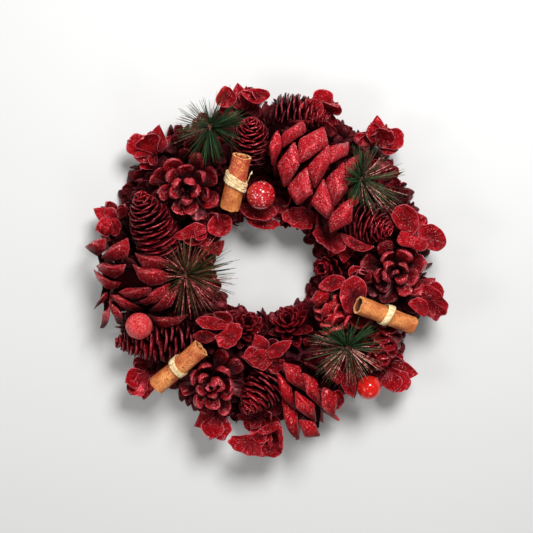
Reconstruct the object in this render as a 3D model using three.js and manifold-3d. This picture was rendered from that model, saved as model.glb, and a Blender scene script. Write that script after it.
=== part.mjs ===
// A round wreath of pine cones, dried petals, pine sprigs, berries and cinnamon sticks, on its flat back.
// Millimetres, +Z up, +Y towards the top of the wreath as it would hang on a door.
// Every piece is laid out from the middle of the wreath, and the group is shifted once at the end,
// so that the origin is under the middle of its footprint.
import * as THREE from "three";
import { mergeVertices } from "three/addons/utils/BufferGeometryUtils.js";
import { ConvexGeometry } from "three/addons/geometries/ConvexGeometry.js";
import Module from "manifold-3d";

const wasm = await Module();
wasm.setup();

// Driving dimensions
const gap = 0.35; // left between pieces that touch
const ring = { radius: 99, halfWidth: 29, height: 16, steps: 36, arcPoints: 7, strands: 12, relief: 0.07 };
const bed = { halfWidth: 46, height: 25, steps: 44, rows: 3, tuck: 0.84, wave: 0.07, jag: 0.07, foot: 4 };
const stick = { length: 51, radius: 8.4, wall: 1.5, scroll: 3.2, meet: 50, curled: 310 };
const tie = { width: 6.5, thickness: 1.3, sides: 12, knot: 2.6 };
const wire = { radius: 1, sides: 4, sunk: 12 };
const petalStem = 2.2;
const quarterSize = 200;
const goldenAngle = Math.PI * (3 - Math.sqrt(5));

// Half outlines of scales and petals: how far along the blade, then how wide it is there, both as shares
const outlines = {
  spoon: [[0, 0.35], [0.8, 1], [1, 0.5]],
  kite: [[0, 0.3], [0.5, 1], [0.82, 0.62], [1, 0]],
  petal: [[0, 0.25], [0.58, 1], [1, 0.45]],
  leaf: [[0, 0.25], [0.5, 1], [1, 0]],
};

// Colours and finishes
const finish = {
  vine: { color: 0x4a2f22, roughness: 0.9 },
  cinnamon: { color: 0xb8682e, roughness: 0.75 },
  raffia: { color: 0xd8c08a, roughness: 0.85 },
  berry: { color: 0xc01824, roughness: 0.45 },
  broadCone: { color: 0xb01a2c, roughness: 0.5 },
  openCone: { color: 0x7c1226, roughness: 0.5 },
  longCone: { color: 0x6e1024, roughness: 0.45 },
  darkCone: { color: 0x4a0c1a, roughness: 0.55 },
  petals: { color: 0x951a2e, roughness: 0.55 },
  greenNeedles: { color: 0x24402c, roughness: 0.5 },
  frostedNeedles: { color: 0x5c4438, roughness: 0.5 },
};

// Where each piece lies. at is x, y and z of its root or base; heading turns it in plan from +X towards +Y,
// rise lifts it from level, both in degrees.
const sticks = [
  { name: "1", at: [-24, 80.5, 55], heading: 80, rise: 4, knot: 110 },
  { name: "2", at: [109.5, -39, 56], heading: -20.5, rise: -14, knot: 250 },
  { name: "3", at: [-76.5, -86.5, 56], heading: 41, rise: 6, knot: 60 },
];
const berries = [
  { name: "upper", at: [-3.6, 69, 57], radius: 12.8 },
  { name: "left", at: [-113.5, -49, 59], radius: 12 },
  { name: "lower_right", at: [93.5, -106, 48], radius: 11 },
];
const broadCones = [
  {
    name: "upper_right", at: [21, 127, 42], heading: -57, rise: 0, roll: 20, length: 86, coreRadius: 17,
    rows: 5, around: 6, form: "kite", scaleLength: 35,
    scaleWidth: 27, thickness: 4, rootRadius: 11, open: [44, 34],
  },
  {
    name: "lower_right", at: [24, -88, 38], heading: -66, rise: 0, roll: 10, length: 58, coreRadius: 13,
    rows: 3, around: 6, form: "leaf", scaleLength: 42,
    scaleWidth: 17, thickness: 4, rootRadius: 8, open: [36, 22],
  },
  {
    name: "inner_right", at: [72, -52, 36], heading: 128, rise: 4, roll: 0, length: 34, coreRadius: 9,
    rows: 3, around: 5, form: "petal", scaleLength: 20,
    scaleWidth: 16, thickness: 3, rootRadius: 5, open: [46, 34],
  },
];
// The left cone's broad scales, each from its root to its tip, with its width
const leftCone = {
  base: [-76, -9, 38],
  tip: [-146, -10, 40],
  radius: 14,
  thickness: 3.4,
  scales: [
    { root: [-84, 0, 44], tip: [-118, 15, 57], width: 15 },
    { root: [-84, -5, 46], tip: [-120, 4, 61], width: 17 },
    { root: [-98, -14, 46], tip: [-131, -23, 57], width: 12 },
    { root: [-86, -13, 46], tip: [-119, -31, 56], width: 13 },
    { root: [-78, -13, 44], tip: [-104, -36, 54], width: 14 },
    { root: [-110, -18, 42], tip: [-138, -33, 50], width: 11 },
    { root: [-128, 0, 44], tip: [-164, 20, 46], width: 16 },
    { root: [-118, 2, 44], tip: [-148, 22, 54], width: 18 },
    { root: [-124, -4, 46], tip: [-155, 5, 55], width: 15 },
    { root: [-128, -12, 44], tip: [-157, -6, 48], width: 12 },
    { root: [-132, -14, 40], tip: [-153, -33, 42], width: 10 },
    { root: [-128, -16, 38], tip: [-145, -51, 42], width: 11 },
    { root: [-116, -18, 36], tip: [-130, -52, 44], width: 12 },
    { root: [-80, -30, 36], tip: [-108, -53, 46], width: 12 },
  ],
};
const openCones = [
  {
    name: "upper_left", at: [-70, 71, 27], heading: 200, rise: 86,
    length: 34, radius: 31, count: 18, width: 17,
  },
  { name: "right", at: [119, -4, 27], heading: 40, rise: 84, length: 32, radius: 28, count: 18, width: 15 },
  {
    name: "lower_left", at: [-47, -106, 27], heading: 250, rise: 84,
    length: 34, radius: 29, count: 18, width: 15,
  },
];
const longCones = [
  { name: "top", at: [-12, 106, 30], heading: 88, rise: 52, length: 54, radius: 16.5, rows: 6 },
  { name: "top_right", at: [14, 142, 30], heading: -8, rise: 2, length: 46, radius: 15.5, rows: 6 },
  { name: "left_upper", at: [-99, 20, 34], heading: 106, rise: 16, length: 60, radius: 19, rows: 7 },
  { name: "right_upper", at: [76, 45, 34], heading: -14, rise: 22, length: 46, radius: 19, rows: 6 },
  { name: "left_lower", at: [-68, -67, 33], heading: 180, rise: 0, length: 70, radius: 17.5, rows: 7 },
  { name: "bottom", at: [6, -103, 33], heading: 228, rise: 12, length: 48, radius: 16.5, rows: 6 },
  { name: "lower_right", at: [108, -52, 32], heading: 262, rise: 4, length: 44, radius: 15.5, rows: 6 },
];
// Petal clusters: the middle, then one heading, rise, length, width and side roll for each petal
const petalClusters = [
  {
    name: "top_left", at: [-20, 143, 28],
    petals: [[135, 8, 28, 22, 20], [28, 24, 26, 18, -30], [75, 0, 22, 18, 0]],
  },
  {
    name: "top", at: [50, 139, 28],
    petals: [[126, 10, 24, 20, 0], [50, 14, 22, 19, 30], [84, -2, 22, 18, 0]],
  },
  {
    name: "inner_top", at: [8, 62, 34],
    petals: [
      [212, 12, 27, 18, 10], [243, -4, 28, 22, 0], [318, 4, 34, 21, 0],
      [345, 20, 28, 18, 20], [280, -12, 22, 16, 0],
    ],
  },
  {
    name: "inner_left_top", at: [-52, 40, 38],
    petals: [[190, 12, 33, 15, 20], [352, 14, 24, 22, 0], [238, 0, 24, 17, 0], [292, -6, 28, 20, 0]],
  },
  {
    name: "inner_right_top", at: [67, 32, 38],
    petals: [[186, 8, 24, 19, 0], [226, 0, 26, 18, 0], [262, -6, 26, 17, 0], [312, 14, 24, 18, -30]],
  },
  {
    name: "right_top", at: [122, 34, 38],
    petals: [[64, 14, 27, 24, 10], [4, 10, 38, 24, 0], [338, 28, 30, 14, 0], [30, -4, 30, 20, 0]],
  },
  {
    name: "right", at: [141, -22, 32],
    petals: [[320, 14, 29, 25, 0], [278, 6, 28, 18, 0], [2, 0, 22, 18, 0]],
  },
  {
    name: "inner_right", at: [87, -13, 44],
    petals: [[184, 10, 36, 17, 30], [233, 14, 38, 26, 10], [262, 6, 38, 20, 0]],
  },
  {
    name: "inner_left_bottom", at: [-42, -54, 38],
    petals: [[150, 14, 24, 14, 20], [196, 10, 26, 16, 0], [328, 16, 27, 24, 0], [70, -4, 22, 16, 0]],
  },
  {
    name: "inner_bottom", at: [0, -77, 38],
    petals: [
      [22, 18, 27, 18, -20], [200, 14, 26, 18, 20], [256, 10, 28, 11, 0],
      [320, 24, 20, 14, 20], [120, 0, 20, 16, 0],
    ],
  },
  {
    name: "bottom", at: [-4, -139, 32],
    petals: [[200, 14, 30, 22, 0], [246, 14, 30, 24, 0], [288, 16, 29, 22, 0], [10, 30, 22, 15, 30]],
  },
  {
    name: "bottom_right", at: [70, -88, 38],
    petals: [[272, 16, 28, 18, 0], [300, 10, 30, 19, 0], [240, 0, 24, 16, 0]],
  },
  {
    name: "bottom_left", at: [-44, -136, 26],
    petals: [[250, 8, 28, 20, 0], [284, 12, 26, 18, 0], [212, 4, 26, 18, 0]],
  },
  {
    name: "left_top", at: [-134, 42, 28],
    petals: [[176, 24, 17, 15, 0], [150, 4, 26, 18, 0], [200, 0, 24, 16, 0]],
  },
  {
    name: "corner_upper_left", at: [-98, 104, 26],
    petals: [[120, 12, 28, 22, 0], [155, 6, 28, 20, 0], [82, 10, 26, 18, 0]],
  },
  {
    name: "corner_upper_right", at: [100, 112, 26],
    petals: [[52, 10, 24, 20, 0], [20, 12, 26, 20, 0], [90, 6, 26, 18, 0]],
  },
  {
    name: "corner_lower_left", at: [-108, -98, 26],
    petals: [[228, 10, 26, 20, 0], [196, 6, 26, 18, 0], [262, 8, 26, 18, 0]],
  },
  {
    name: "corner_lower_right", at: [114, -94, 26],
    petals: [[312, 10, 26, 20, 0], [350, 8, 28, 19, 0], [280, 4, 24, 18, 0]],
  },
];
const darkCones = [
  { name: "inner_bottom_left", at: [-22, -64, 15], heading: 70, rise: 52, length: 30, radius: 23, count: 8 },
  { name: "inner_bottom_right", at: [26, -63, 15], heading: 105, rise: 48, length: 32, radius: 25, count: 8 },
  { name: "inner_right", at: [67, 2, 15], heading: 186, rise: 52, length: 28, radius: 21, count: 7 },
  { name: "inner_top", at: [23, 60, 15], heading: 258, rise: 40, length: 28, radius: 19, count: 7 },
  { name: "inner_left", at: [-65, 15, 15], heading: 345, rise: 50, length: 26, radius: 20, count: 7 },
];
const sprigs = [
  { name: "upper_left", at: [-49, 126, 52], reach: 32, low: 4, high: 60, finish: "greenNeedles" },
  { name: "upper_right", at: [88, 82, 58], reach: 38, low: 2, high: 55, finish: "greenNeedles" },
  { name: "lower_right", at: [75, -69, 56], reach: 37, low: 2, high: 55, finish: "greenNeedles" },
  { name: "left", at: [-71, -4, 60], reach: 42, low: 1, high: 52, finish: "frostedNeedles" },
];

const wreath = new THREE.Group();
const taken = []; // the room of every piece placed so far, grown by the gap

const radians = THREE.MathUtils.degToRad;
const mix = THREE.MathUtils.lerp;

// A frame with +X along the heading and rise, and +Z on its upper side, rolled about +X
function bladeFrame([x, y, z], heading, rise, roll = 0) {
  return new THREE.Matrix4()
    .makeTranslation(x, y, z)
    .multiply(new THREE.Matrix4().makeRotationZ(radians(heading)))
    .multiply(new THREE.Matrix4().makeRotationY(radians(-rise)))
    .multiply(new THREE.Matrix4().makeRotationX(radians(roll)));
}

// The same frame with +Z along the heading and rise instead
function coneFrame(at, heading, rise, roll = 0) {
  return bladeFrame(at, heading, rise, roll).multiply(new THREE.Matrix4().makeRotationY(Math.PI / 2));
}

function solidOf(geometry, frame = new THREE.Matrix4()) {
  const bare = geometry.clone();
  bare.deleteAttribute("normal");
  bare.deleteAttribute("uv");
  const merged = mergeVertices(bare.applyMatrix4(frame), 1e-4);
  const corners = [...merged.index.array];
  const whole = [];
  for (let i = 0; i < corners.length; i += 3) {
    const [a, b, c] = corners.slice(i, i + 3);
    if (a !== b && b !== c && c !== a) whole.push(a, b, c);
  }
  return new wasm.Manifold(
    new wasm.Mesh({
      numProp: 3,
      vertProperties: merged.attributes.position.array,
      triVerts: new Uint32Array(whole),
    }),
  );
}

function geometryOf(solid) {
  const mesh = solid.getMesh();
  return new THREE.BufferGeometry()
    .setAttribute("position", new THREE.BufferAttribute(new Float32Array(mesh.vertProperties), 3))
    .setIndex(new THREE.BufferAttribute(mesh.triVerts, 1));
}

function join(solids) {
  return solids.reduce((whole, next) => whole.add(next));
}

function fromTriangles(points, faces) {
  return new THREE.BufferGeometry()
    .setAttribute("position", new THREE.Float32BufferAttribute(points.flat(), 3))
    .setIndex(faces.flat());
}

// A surface through rings of points, all with the same count, closed by a point at each end
function loft(rings, first, last) {
  const sides = rings[0].length;
  const points = [...rings.flat(), first, last];
  const bottom = points.length - 2;
  const top = points.length - 1;
  const faces = [];
  for (let side = 0; side < sides; side++) {
    const next = (side + 1) % sides;
    faces.push([bottom, next, side]);
    for (let row = 0; row < rings.length - 1; row++) {
      const low = row * sides;
      const high = low + sides;
      faces.push([low + side, low + next, high + next], [low + side, high + next, high + side]);
    }
    const end = (rings.length - 1) * sides;
    faces.push([top, end + side, end + next]);
  }
  return fromTriangles(points, faces);
}

// A solid turned about +Z from a list of heights and radii between two points on the axis
function turned(profile, sides, grow = 0) {
  const rings = profile.slice(1, -1).map(([height, radius]) =>
    Array.from({ length: sides }, (_, side) => {
      const angle = (side / sides) * 2 * Math.PI;
      return [(radius + grow) * Math.cos(angle), (radius + grow) * Math.sin(angle), height];
    }),
  );
  return loft(rings, [0, 0, profile[0][0] - grow], [0, 0, profile[profile.length - 1][0] + grow]);
}

// Whether a scale, placed by its frame, would lie under its cone and in the base ring
function buried(frame, length) {
  const tip = new THREE.Vector3(length, 0, 0).applyMatrix4(frame);
  return tip.z < bed.height;
}

// A scale or petal along +X: its rim is one closed line, thickest in the middle, with the rim lifted by cup
// and the tip lifted by curl. Grown, it stands off that shape all round, with a wall along its rim.
function blade({ form, length, width, thickness, cup = 0, curl = 0, grow = 0 }) {
  const half = outlines[form];
  const otherHalf = half.filter(([, wide]) => wide > 0).map(([share, wide]) => [share, -wide]);
  const sides = [...half, ...otherHalf.reverse()];
  const rimAt = (lift) =>
    sides.map(([share, wide]) => [
      share * (length + 2 * grow) - grow,
      wide * (width / 2 + grow) + Math.sign(wide) * 0.5 * grow,
      cup * Math.abs(wide) + curl * share * share + lift,
    ]);
  const middle = 0.55;
  const height = curl * middle * middle;
  const top = [middle * length, 0, height + thickness / 2 + grow];
  const under = [middle * length, 0, height - thickness / 2 - grow];
  const count = sides.length;
  const points = grow > 0 ? [...rimAt(grow), top, under, ...rimAt(-grow)] : [...rimAt(0), top, under];
  const low = grow > 0 ? count + 2 : 0;
  const faces = [];
  for (let corner = 0; corner < count; corner++) {
    const next = (corner + 1) % count;
    faces.push([count, next, corner], [count + 1, low + corner, low + next]);
    if (grow > 0) faces.push([corner, next, low + next], [corner, low + next, low + corner]);
  }
  return fromTriangles(points, faces);
}

// A round bar between two points
function bar(from, to, radius, sides) {
  const start = new THREE.Vector3(...from);
  const reach = new THREE.Vector3(...to).sub(start);
  const along = reach.clone().normalize();
  const turn = new THREE.Quaternion().setFromUnitVectors(new THREE.Vector3(0, 1, 0), along);
  const middle = start.addScaledVector(reach, 0.5);
  const frame = new THREE.Matrix4().compose(middle, turn, new THREE.Vector3(1, 1, 1));
  return solidOf(new THREE.CylinderGeometry(radius, radius, reach.length(), sides), frame);
}

// A closed section swept once round the wreath; sectionAt gives its points, out from the middle and up
function sweptRing(steps, sectionAt) {
  const rows = Array.from({ length: steps }, (_, step) => {
    const around = (step / steps) * 2 * Math.PI;
    return sectionAt(around, step).map(([out, up]) => [out * Math.cos(around), out * Math.sin(around), up]);
  });
  const count = rows[0].length;
  const faces = [];
  for (let step = 0; step < steps; step++) {
    const here = step * count;
    const there = ((step + 1) % steps) * count;
    for (let point = 0; point < count; point++) {
      const next = (point + 1) % count;
      faces.push([here + point, there + next, here + next], [here + point, there + point, there + next]);
    }
  }
  return fromTriangles(rows.flat(), faces);
}

function onSection(halfWidth, height, angle) {
  return [ring.radius + halfWidth * Math.cos(angle), height * Math.sin(angle)];
}

// The base ring: half an ellipse on a flat back, with vine strands that wind round it as ridges
function ringGeometry() {
  const last = ring.arcPoints - 1;
  return sweptRing(ring.steps, (around) =>
    Array.from({ length: ring.arcPoints }, (_, point) => {
      const angle = (point / last) * Math.PI;
      const ridge = 0.5 - 0.5 * Math.cos(3 * angle + ring.strands * around);
      const size = 1 - ring.relief * ridge * Math.sin(angle);
      return onSection(ring.halfWidth * size, ring.height * size, angle);
    }),
  );
}

// The bed over the ring: rows of dark scales that overlap down both slopes, each lip scalloped and standing
// proud of the next row's root
function bedGeometry(grow = 0, slide = 0) {
  const halfWidth = bed.halfWidth + grow;
  const height = bed.height + grow;
  const slope = [];
  for (let row = 0; row < bed.rows; row++) {
    slope.push({ share: (row + 0.12) / bed.rows, size: bed.tuck, row, lip: 0 });
    slope.push({ share: (row + 0.9) / bed.rows, size: 1, row, lip: 1 });
  }
  const under = [8, 30, 60, 90, 120, 150, 172].map((angle) =>
    onSection(ring.halfWidth + gap, ring.height + gap, radians(angle)),
  );
  return sweptRing(bed.steps, (around, step) => {
    const side = (sign) =>
      slope.map(({ share, size, row, lip }) => {
        const crest = (step + row) % 2 === 0 ? lip : -lip;
        const angle = Math.PI / 2 - sign * ((Math.PI / 2) * (0.04 + 0.9 * share + bed.jag * crest) + slide);
        const reach = size * (1 + bed.wave * crest);
        const [out, up] = onSection(halfWidth * reach, height * reach, angle);
        return [out, Math.max(bed.foot - grow, up)];
      });
    return [...side(1).reverse(), ...side(-1), ...under.slice().reverse()];
  });
}

function bedRoom() {
  const size = 1.03 * (1 + bed.wave);
  const count = 9;
  return sweptRing(bed.steps, () =>
    Array.from({ length: count }, (_, point) => {
      const angle = (point / (count - 1)) * Math.PI;
      return onSection(size * bed.halfWidth + gap, size * bed.height + gap, angle);
    }),
  );
}

// A pick of wire from a piece down to the middle of the ring under it, sunk in so that it ends at the ring
function pickTo(at, radius = wire.radius) {
  const [x, y, z] = at;
  const out = Math.hypot(x, y);
  const inner = ring.radius - 0.7 * bed.halfWidth;
  const outer = ring.radius + 0.7 * bed.halfWidth;
  const foot = THREE.MathUtils.clamp(out, inner, outer) / out;
  return bar([x, y, z + radius], [x * foot, y * foot, wire.sunk], radius, wire.sides);
}

// A long cone along +Z: each row of scale edges flares to a scalloped lip, then tucks in under the next
function longConeGeometry({ length, radius, rows }) {
  const lobes = 6;
  const sides = 2 * lobes;
  const pitch = (0.92 * length) / rows;
  const bulge = (share) => radius * Math.sin(Math.PI * (0.22 + 0.68 * share)) ** 0.8;
  const ringAt = (row, share, out, wave) =>
    Array.from({ length: sides }, (_, side) => {
      const angle = (side / sides) * 2 * Math.PI;
      const crest = (side + row) % 2 === 0 ? 1 : -1;
      const reach = out * bulge((row + share) / rows) * (1 + 0.5 * wave * crest);
      const height = 0.05 * length + (row + share + wave * crest) * pitch;
      return [reach * Math.cos(angle), reach * Math.sin(angle), height];
    });
  const rings = [];
  for (let row = 0; row < rows; row++) {
    rings.push(ringAt(row, 0, 0.8, 0), ringAt(row, 0.84, 1, 0.13));
  }
  return loft(rings, [0, 0, 0], [0, 0, length]);
}

function longConeRoom({ length, radius }) {
  const bulge = (share) => 1.1 * radius * Math.sin(Math.PI * (0.22 + 0.68 * share)) ** 0.8;
  const shares = [0, 0, 0.25, 0.5, 0.75, 1, 1];
  const profile = shares.map((share) => [0.01 * length + share * 0.99 * length, bulge(share)]);
  profile[0][0] -= 1;
  profile[6][0] += 2;
  return turned(profile, 14, gap);
}

// An open cone along +Z: scales on a golden spiral round a spindle, wide open at the base
function openCone(cone, coneAt) {
  const { length, radius, count, width, form = "spoon", open = [92, 16], thickness = 2.6 } = cone;
  const core = 0.24 * radius;
  const spindle = [
    [0],
    [0.02 * length, 0.8 * core],
    [0.4 * length, core],
    [0.8 * length, 0.6 * core],
    [0.98 * length],
  ];
  const parts = [solidOf(turned(spindle, 7), coneAt)];
  for (let index = 0; index < count; index++) {
    const share = index / (count - 1);
    const lean = radians(mix(open[0], open[1], share ** 0.9));
    const reach = (radius - 0.7 * core) * mix(1, 0.42, share);
    const scale = blade({
      form,
      length: reach,
      width: width * mix(1, 0.55, share),
      thickness: thickness * mix(1, 0.7, share),
      cup: 0.12 * width,
      curl: 0.1 * reach,
    });
    const frame = new THREE.Matrix4()
      .makeRotationZ(index * goldenAngle)
      .multiply(new THREE.Matrix4().makeTranslation(0.7 * core, 0, length * mix(0.16, 0.72, share)))
      .multiply(new THREE.Matrix4().makeRotationY(lean - Math.PI / 2));
    frame.premultiply(coneAt);
    if (!buried(frame, reach)) parts.push(solidOf(scale, frame));
  }
  return join(parts);
}

// A broad-scaled cone along +Z: rows of large scales round a spindle, each row turned half a scale on
function broadCone(cone, coneAt) {
  const { length, coreRadius, rows, around, form, scaleLength, scaleWidth, thickness, rootRadius, open } = cone;
  const spindle = [
    [0],
    [0.03 * length, 0.6 * coreRadius],
    [0.3 * length, coreRadius],
    [0.7 * length, 0.8 * coreRadius],
    [0.97 * length],
  ];
  const parts = [solidOf(turned(spindle, 9), coneAt)];
  for (let row = 0; row < rows; row++) {
    const share = row / (rows - 1);
    const height = length * mix(0.02, 0.68, share);
    const lean = radians(mix(open[0], open[1], share));
    const size = mix(1, 0.82, share);
    for (let turn = 0; turn < around; turn++) {
      const scale = blade({
        form,
        length: size * scaleLength,
        width: size * scaleWidth,
        thickness,
        cup: -0.12 * scaleWidth,
        curl: -0.08 * scaleLength,
      });
      const frame = new THREE.Matrix4()
        .makeRotationZ(((turn + (row % 2) / 2) / around) * 2 * Math.PI)
        .multiply(new THREE.Matrix4().makeTranslation(size * rootRadius, 0, height))
        .multiply(new THREE.Matrix4().makeRotationY(lean - Math.PI / 2));
      frame.premultiply(coneAt);
      if (!buried(frame, size * scaleLength)) parts.push(solidOf(scale, frame));
    }
  }
  return join(parts);
}

// A scale laid from its root to its tip, with its broad side up
function laidScale({ root, tip, width }, form, thickness) {
  const reach = new THREE.Vector3(...tip).sub(new THREE.Vector3(...root));
  const heading = THREE.MathUtils.radToDeg(Math.atan2(reach.y, reach.x));
  const rise = THREE.MathUtils.radToDeg(Math.atan2(reach.z, Math.hypot(reach.x, reach.y)));
  const shape = blade({ form, length: reach.length(), width, thickness, cup: -0.1 * width });
  return solidOf(shape, bladeFrame(root, heading, rise));
}

// A burst of needles: every face of a small ball is drawn out into one, but for those that face down
function needleBurst({ reach, low, high }) {
  const ball = new THREE.IcosahedronGeometry(2.4, 1);
  const corners = ball.getAttribute("position");
  const points = [];
  const faces = [];
  for (let corner = 0; corner < corners.count; corner += 3) {
    const face = [0, 1, 2].map((step) => new THREE.Vector3().fromBufferAttribute(corners, corner + step));
    const out = face[0].clone().add(face[1]).add(face[2]).normalize();
    const first = points.length;
    points.push(...face.map((point) => point.toArray()));
    if (out.z < -0.55) {
      faces.push([first, first + 1, first + 2]);
      continue;
    }
    const rise = radians(mix(low, high, (out.z + 0.55) / 1.55));
    const heading = Math.atan2(out.y, out.x);
    const uneven = 0.88 + 0.12 * Math.cos(7 * heading + 40 * out.z);
    const length = reach * uneven * (1 - 0.3 * Math.sin(rise));
    const level = length * Math.cos(rise);
    points.push([level * Math.cos(heading), level * Math.sin(heading), length * Math.sin(rise)]);
    const tip = first + 3;
    faces.push([first, first + 1, tip], [first + 1, first + 2, tip], [first + 2, first, tip]);
  }
  return fromTriangles(points, faces);
}

// The convex room round a piece, with every corner pushed out from its middle
function roomRound(solid) {
  const mesh = solid.getMesh();
  const points = [];
  for (let i = 0; i < mesh.vertProperties.length; i += mesh.numProp) {
    points.push(new THREE.Vector3(...mesh.vertProperties.slice(i, i + 3)));
  }
  const middle = new THREE.Box3().setFromPoints(points).getCenter(new THREE.Vector3());
  const pushed = points.map((point) => {
    const away = point.clone().sub(middle);
    return point.clone().addScaledVector(away.normalize(), 2 * gap);
  });
  return solidOf(new ConvexGeometry(pushed));
}

function boxesMeet(a, b) {
  return [0, 1, 2].every((axis) => a.min[axis] < b.max[axis] && b.min[axis] < a.max[axis]);
}

// A piece is cut clear of every room already taken, and only its largest body stays
function place(name, solid, look, room) {
  let body = solid;
  for (const other of taken) {
    if (boxesMeet(body.boundingBox(), other.boundingBox())) body = body.subtract(other);
  }
  const pieces = body.decompose().sort((a, b) => b.volume() - a.volume());
  body = pieces[0];
  if (room) taken.push(room);
  const material = new THREE.MeshStandardMaterial({ ...finish[look], metalness: 0 });
  const mesh = new THREE.Mesh(geometryOf(body), material);
  mesh.name = name;
  wreath.add(mesh);
  return body;
}

function arc([x, y], radius, from, to, steps) {
  return Array.from({ length: steps + 1 }, (_, step) => {
    const angle = radians(mix(from, to, step / steps));
    return [x + radius * Math.cos(angle), y + radius * Math.sin(angle)];
  });
}

// The cut end of a quill: a strip of bark rolled nearly round, with both edges turned in as scrolls
function quillShape() {
  const { radius, wall, scroll, meet, curled } = stick;
  const middle = [(radius - scroll) * Math.cos(radians(meet)), (radius - scroll) * Math.sin(radians(meet))];
  const right = [
    ...arc([0, 0], radius, -90, meet, 5),
    ...arc(middle, scroll, meet, curled, 6).slice(1),
    ...arc(middle, scroll - wall, curled, meet, 5),
    ...arc([0, 0], radius - wall, meet, -90, 5).slice(1),
  ];
  const left = right.map(([x, y]) => [-x, y]).reverse();
  const outline = [...right, ...left.slice(1, -1)];
  return new THREE.Shape(outline.map(([x, y]) => new THREE.Vector2(x, y)));
}

const floor = new THREE.BoxGeometry(600, 600, 40).translate(0, 0, -20);
taken.push(solidOf(floor));

place("ring_base", solidOf(ringGeometry()), "vine");
// The bed is laid in four quarters round the hole
const wholeBed = solidOf(bedGeometry());
const quarters = { upper_right: [1, 1], upper_left: [-1, 1], lower_left: [-1, -1], lower_right: [1, -1] };
for (const [name, [right, up]] of Object.entries(quarters)) {
  const corner = [right, up].map((sign) => sign * (quarterSize / 2 + gap / 2));
  const quarter = new THREE.BoxGeometry(quarterSize, quarterSize, quarterSize).translate(...corner, 0);
  place(`scale_bed_${name}`, wholeBed.intersect(solidOf(quarter)), "darkCone");
}
const underBed = sweptRing(ring.steps, () => [
  onSection(bed.halfWidth, 0, 0),
  onSection(0.8 * bed.halfWidth, 0.8 * bed.height, Math.PI / 2),
  onSection(bed.halfWidth, 0, Math.PI),
]);
// The bed grown by the gap all ways: outwards, round the wreath and down its slopes
const bedShifted = ([round, down]) =>
  solidOf(
    bedGeometry(2 * gap, (down * 1.2 * gap) / bed.height),
    new THREE.Matrix4().makeRotationZ((round * 1.2 * gap) / ring.radius),
  );
const bedSkin = join([[-1, 0], [1, 0], [0, -1], [0, 1]].map(bedShifted).concat(solidOf(underBed)));
const overBed = solidOf(bedRoom());

// A piece sits on the bed by its body, cut clear of the whole bed, and by its stem, down to a scale
function seated(body, stem) {
  return body.subtract(overBed).add(stem.subtract(bedSkin));
}

for (const { name, at, heading, rise, knot } of sticks) {
  const frame = coneFrame(at, heading, rise);
  const half = stick.length / 2;
  const sheet = { depth: stick.length, bevelEnabled: false, steps: 1 };
  const roll = new THREE.ExtrudeGeometry(quillShape(), sheet).translate(0, 0, -half);
  const clear = stick.radius / Math.cos(Math.PI / tie.sides) + gap;
  const room = turned([[-half], [-half, clear], [half, clear], [half]], tie.sides);
  place(`cinnamon_stick_${name}`, solidOf(roll, frame), "cinnamon", solidOf(room, frame));
  const outer = clear + tie.thickness;
  const edge = tie.width / 2;
  const band = turned([[-edge], [-edge, outer - 0.6], [0, outer], [edge, outer - 0.6], [edge]], tie.sides);
  const lump = new THREE.IcosahedronGeometry(tie.knot, 0);
  lump.translate(outer * Math.cos(radians(knot)), outer * Math.sin(radians(knot)), 0);
  const bandRoom = turned([[-edge], [-edge, outer], [edge, outer], [edge]], tie.sides, gap);
  const body = seated(join([solidOf(band, frame), solidOf(lump, frame)]), pickTo(at));
  place(`tie_${name}`, body, "raffia", solidOf(bandRoom, frame));
}

for (const { name, at, radius } of berries) {
  const ball = solidOf(new THREE.SphereGeometry(radius, 12, 8).translate(...at));
  const room = solidOf(new THREE.SphereGeometry(radius * 1.02 + gap, 12, 8).translate(...at));
  place(`berry_${name}`, seated(ball, pickTo(at)), "berry", room);
}

for (const cone of broadCones) {
  const body = broadCone(cone, coneFrame(cone.at, cone.heading, cone.rise, cone.roll));
  const placed = place(`cone_broad_${cone.name}`, seated(body, pickTo(cone.at, 2)), "broadCone");
  taken.push(roomRound(placed));
}

{
  const { base, tip, radius, scales, thickness } = leftCone;
  const reach = new THREE.Vector3(...tip).sub(new THREE.Vector3(...base)).length();
  const waist = [[0.05 * reach, 0.8 * radius], [0.4 * reach, radius], [0.8 * reach, 0.7 * radius]];
  const spindle = [[0], ...waist, [reach]];
  const core = solidOf(turned(spindle, 9), coneFrame(base, 181, 1.6));
  const shape = join([core, ...scales.map((scale) => laidScale(scale, "kite", thickness))]);
  const body = seated(shape, pickTo(base, 2));
  taken.push(roomRound(place("cone_broad_left", body, "broadCone")));
}

for (const cone of openCones) {
  const body = openCone(cone, coneFrame(cone.at, cone.heading, cone.rise));
  taken.push(roomRound(place(`cone_open_${cone.name}`, seated(body, pickTo(cone.at, 2)), "openCone")));
}

for (const cone of longCones) {
  const frame = coneFrame(cone.at, cone.heading, cone.rise);
  const body = seated(solidOf(longConeGeometry(cone), frame), pickTo(cone.at, 2));
  place(`cone_long_${cone.name}`, body, "longCone", solidOf(longConeRoom(cone), frame));
}

for (const { name, at, petals } of petalClusters) {
  const rooms = [];
  const blades = petals.map(([heading, rise, length, width, roll]) => {
    const shape = { form: "petal", length, width, thickness: 2, cup: 0.16 * width, curl: 0.12 * length };
    const frame = bladeFrame(at, heading, rise, roll);
    rooms.push(solidOf(blade({ ...shape, grow: gap }), frame));
    return solidOf(blade(shape), frame);
  });
  place(`petals_${name}`, seated(join(blades), pickTo(at, petalStem)), "petals");
  taken.push(...rooms, pickTo(at, petalStem + 1.5 * gap));
}

for (const cone of darkCones) {
  const shape = { ...cone, form: "leaf", width: 12, open: [84, 20], thickness: 2.4 };
  const body = openCone(shape, coneFrame(cone.at, cone.heading, cone.rise));
  taken.push(roomRound(place(`cone_dark_${cone.name}`, body.subtract(bedSkin), "darkCone")));
}

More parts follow.
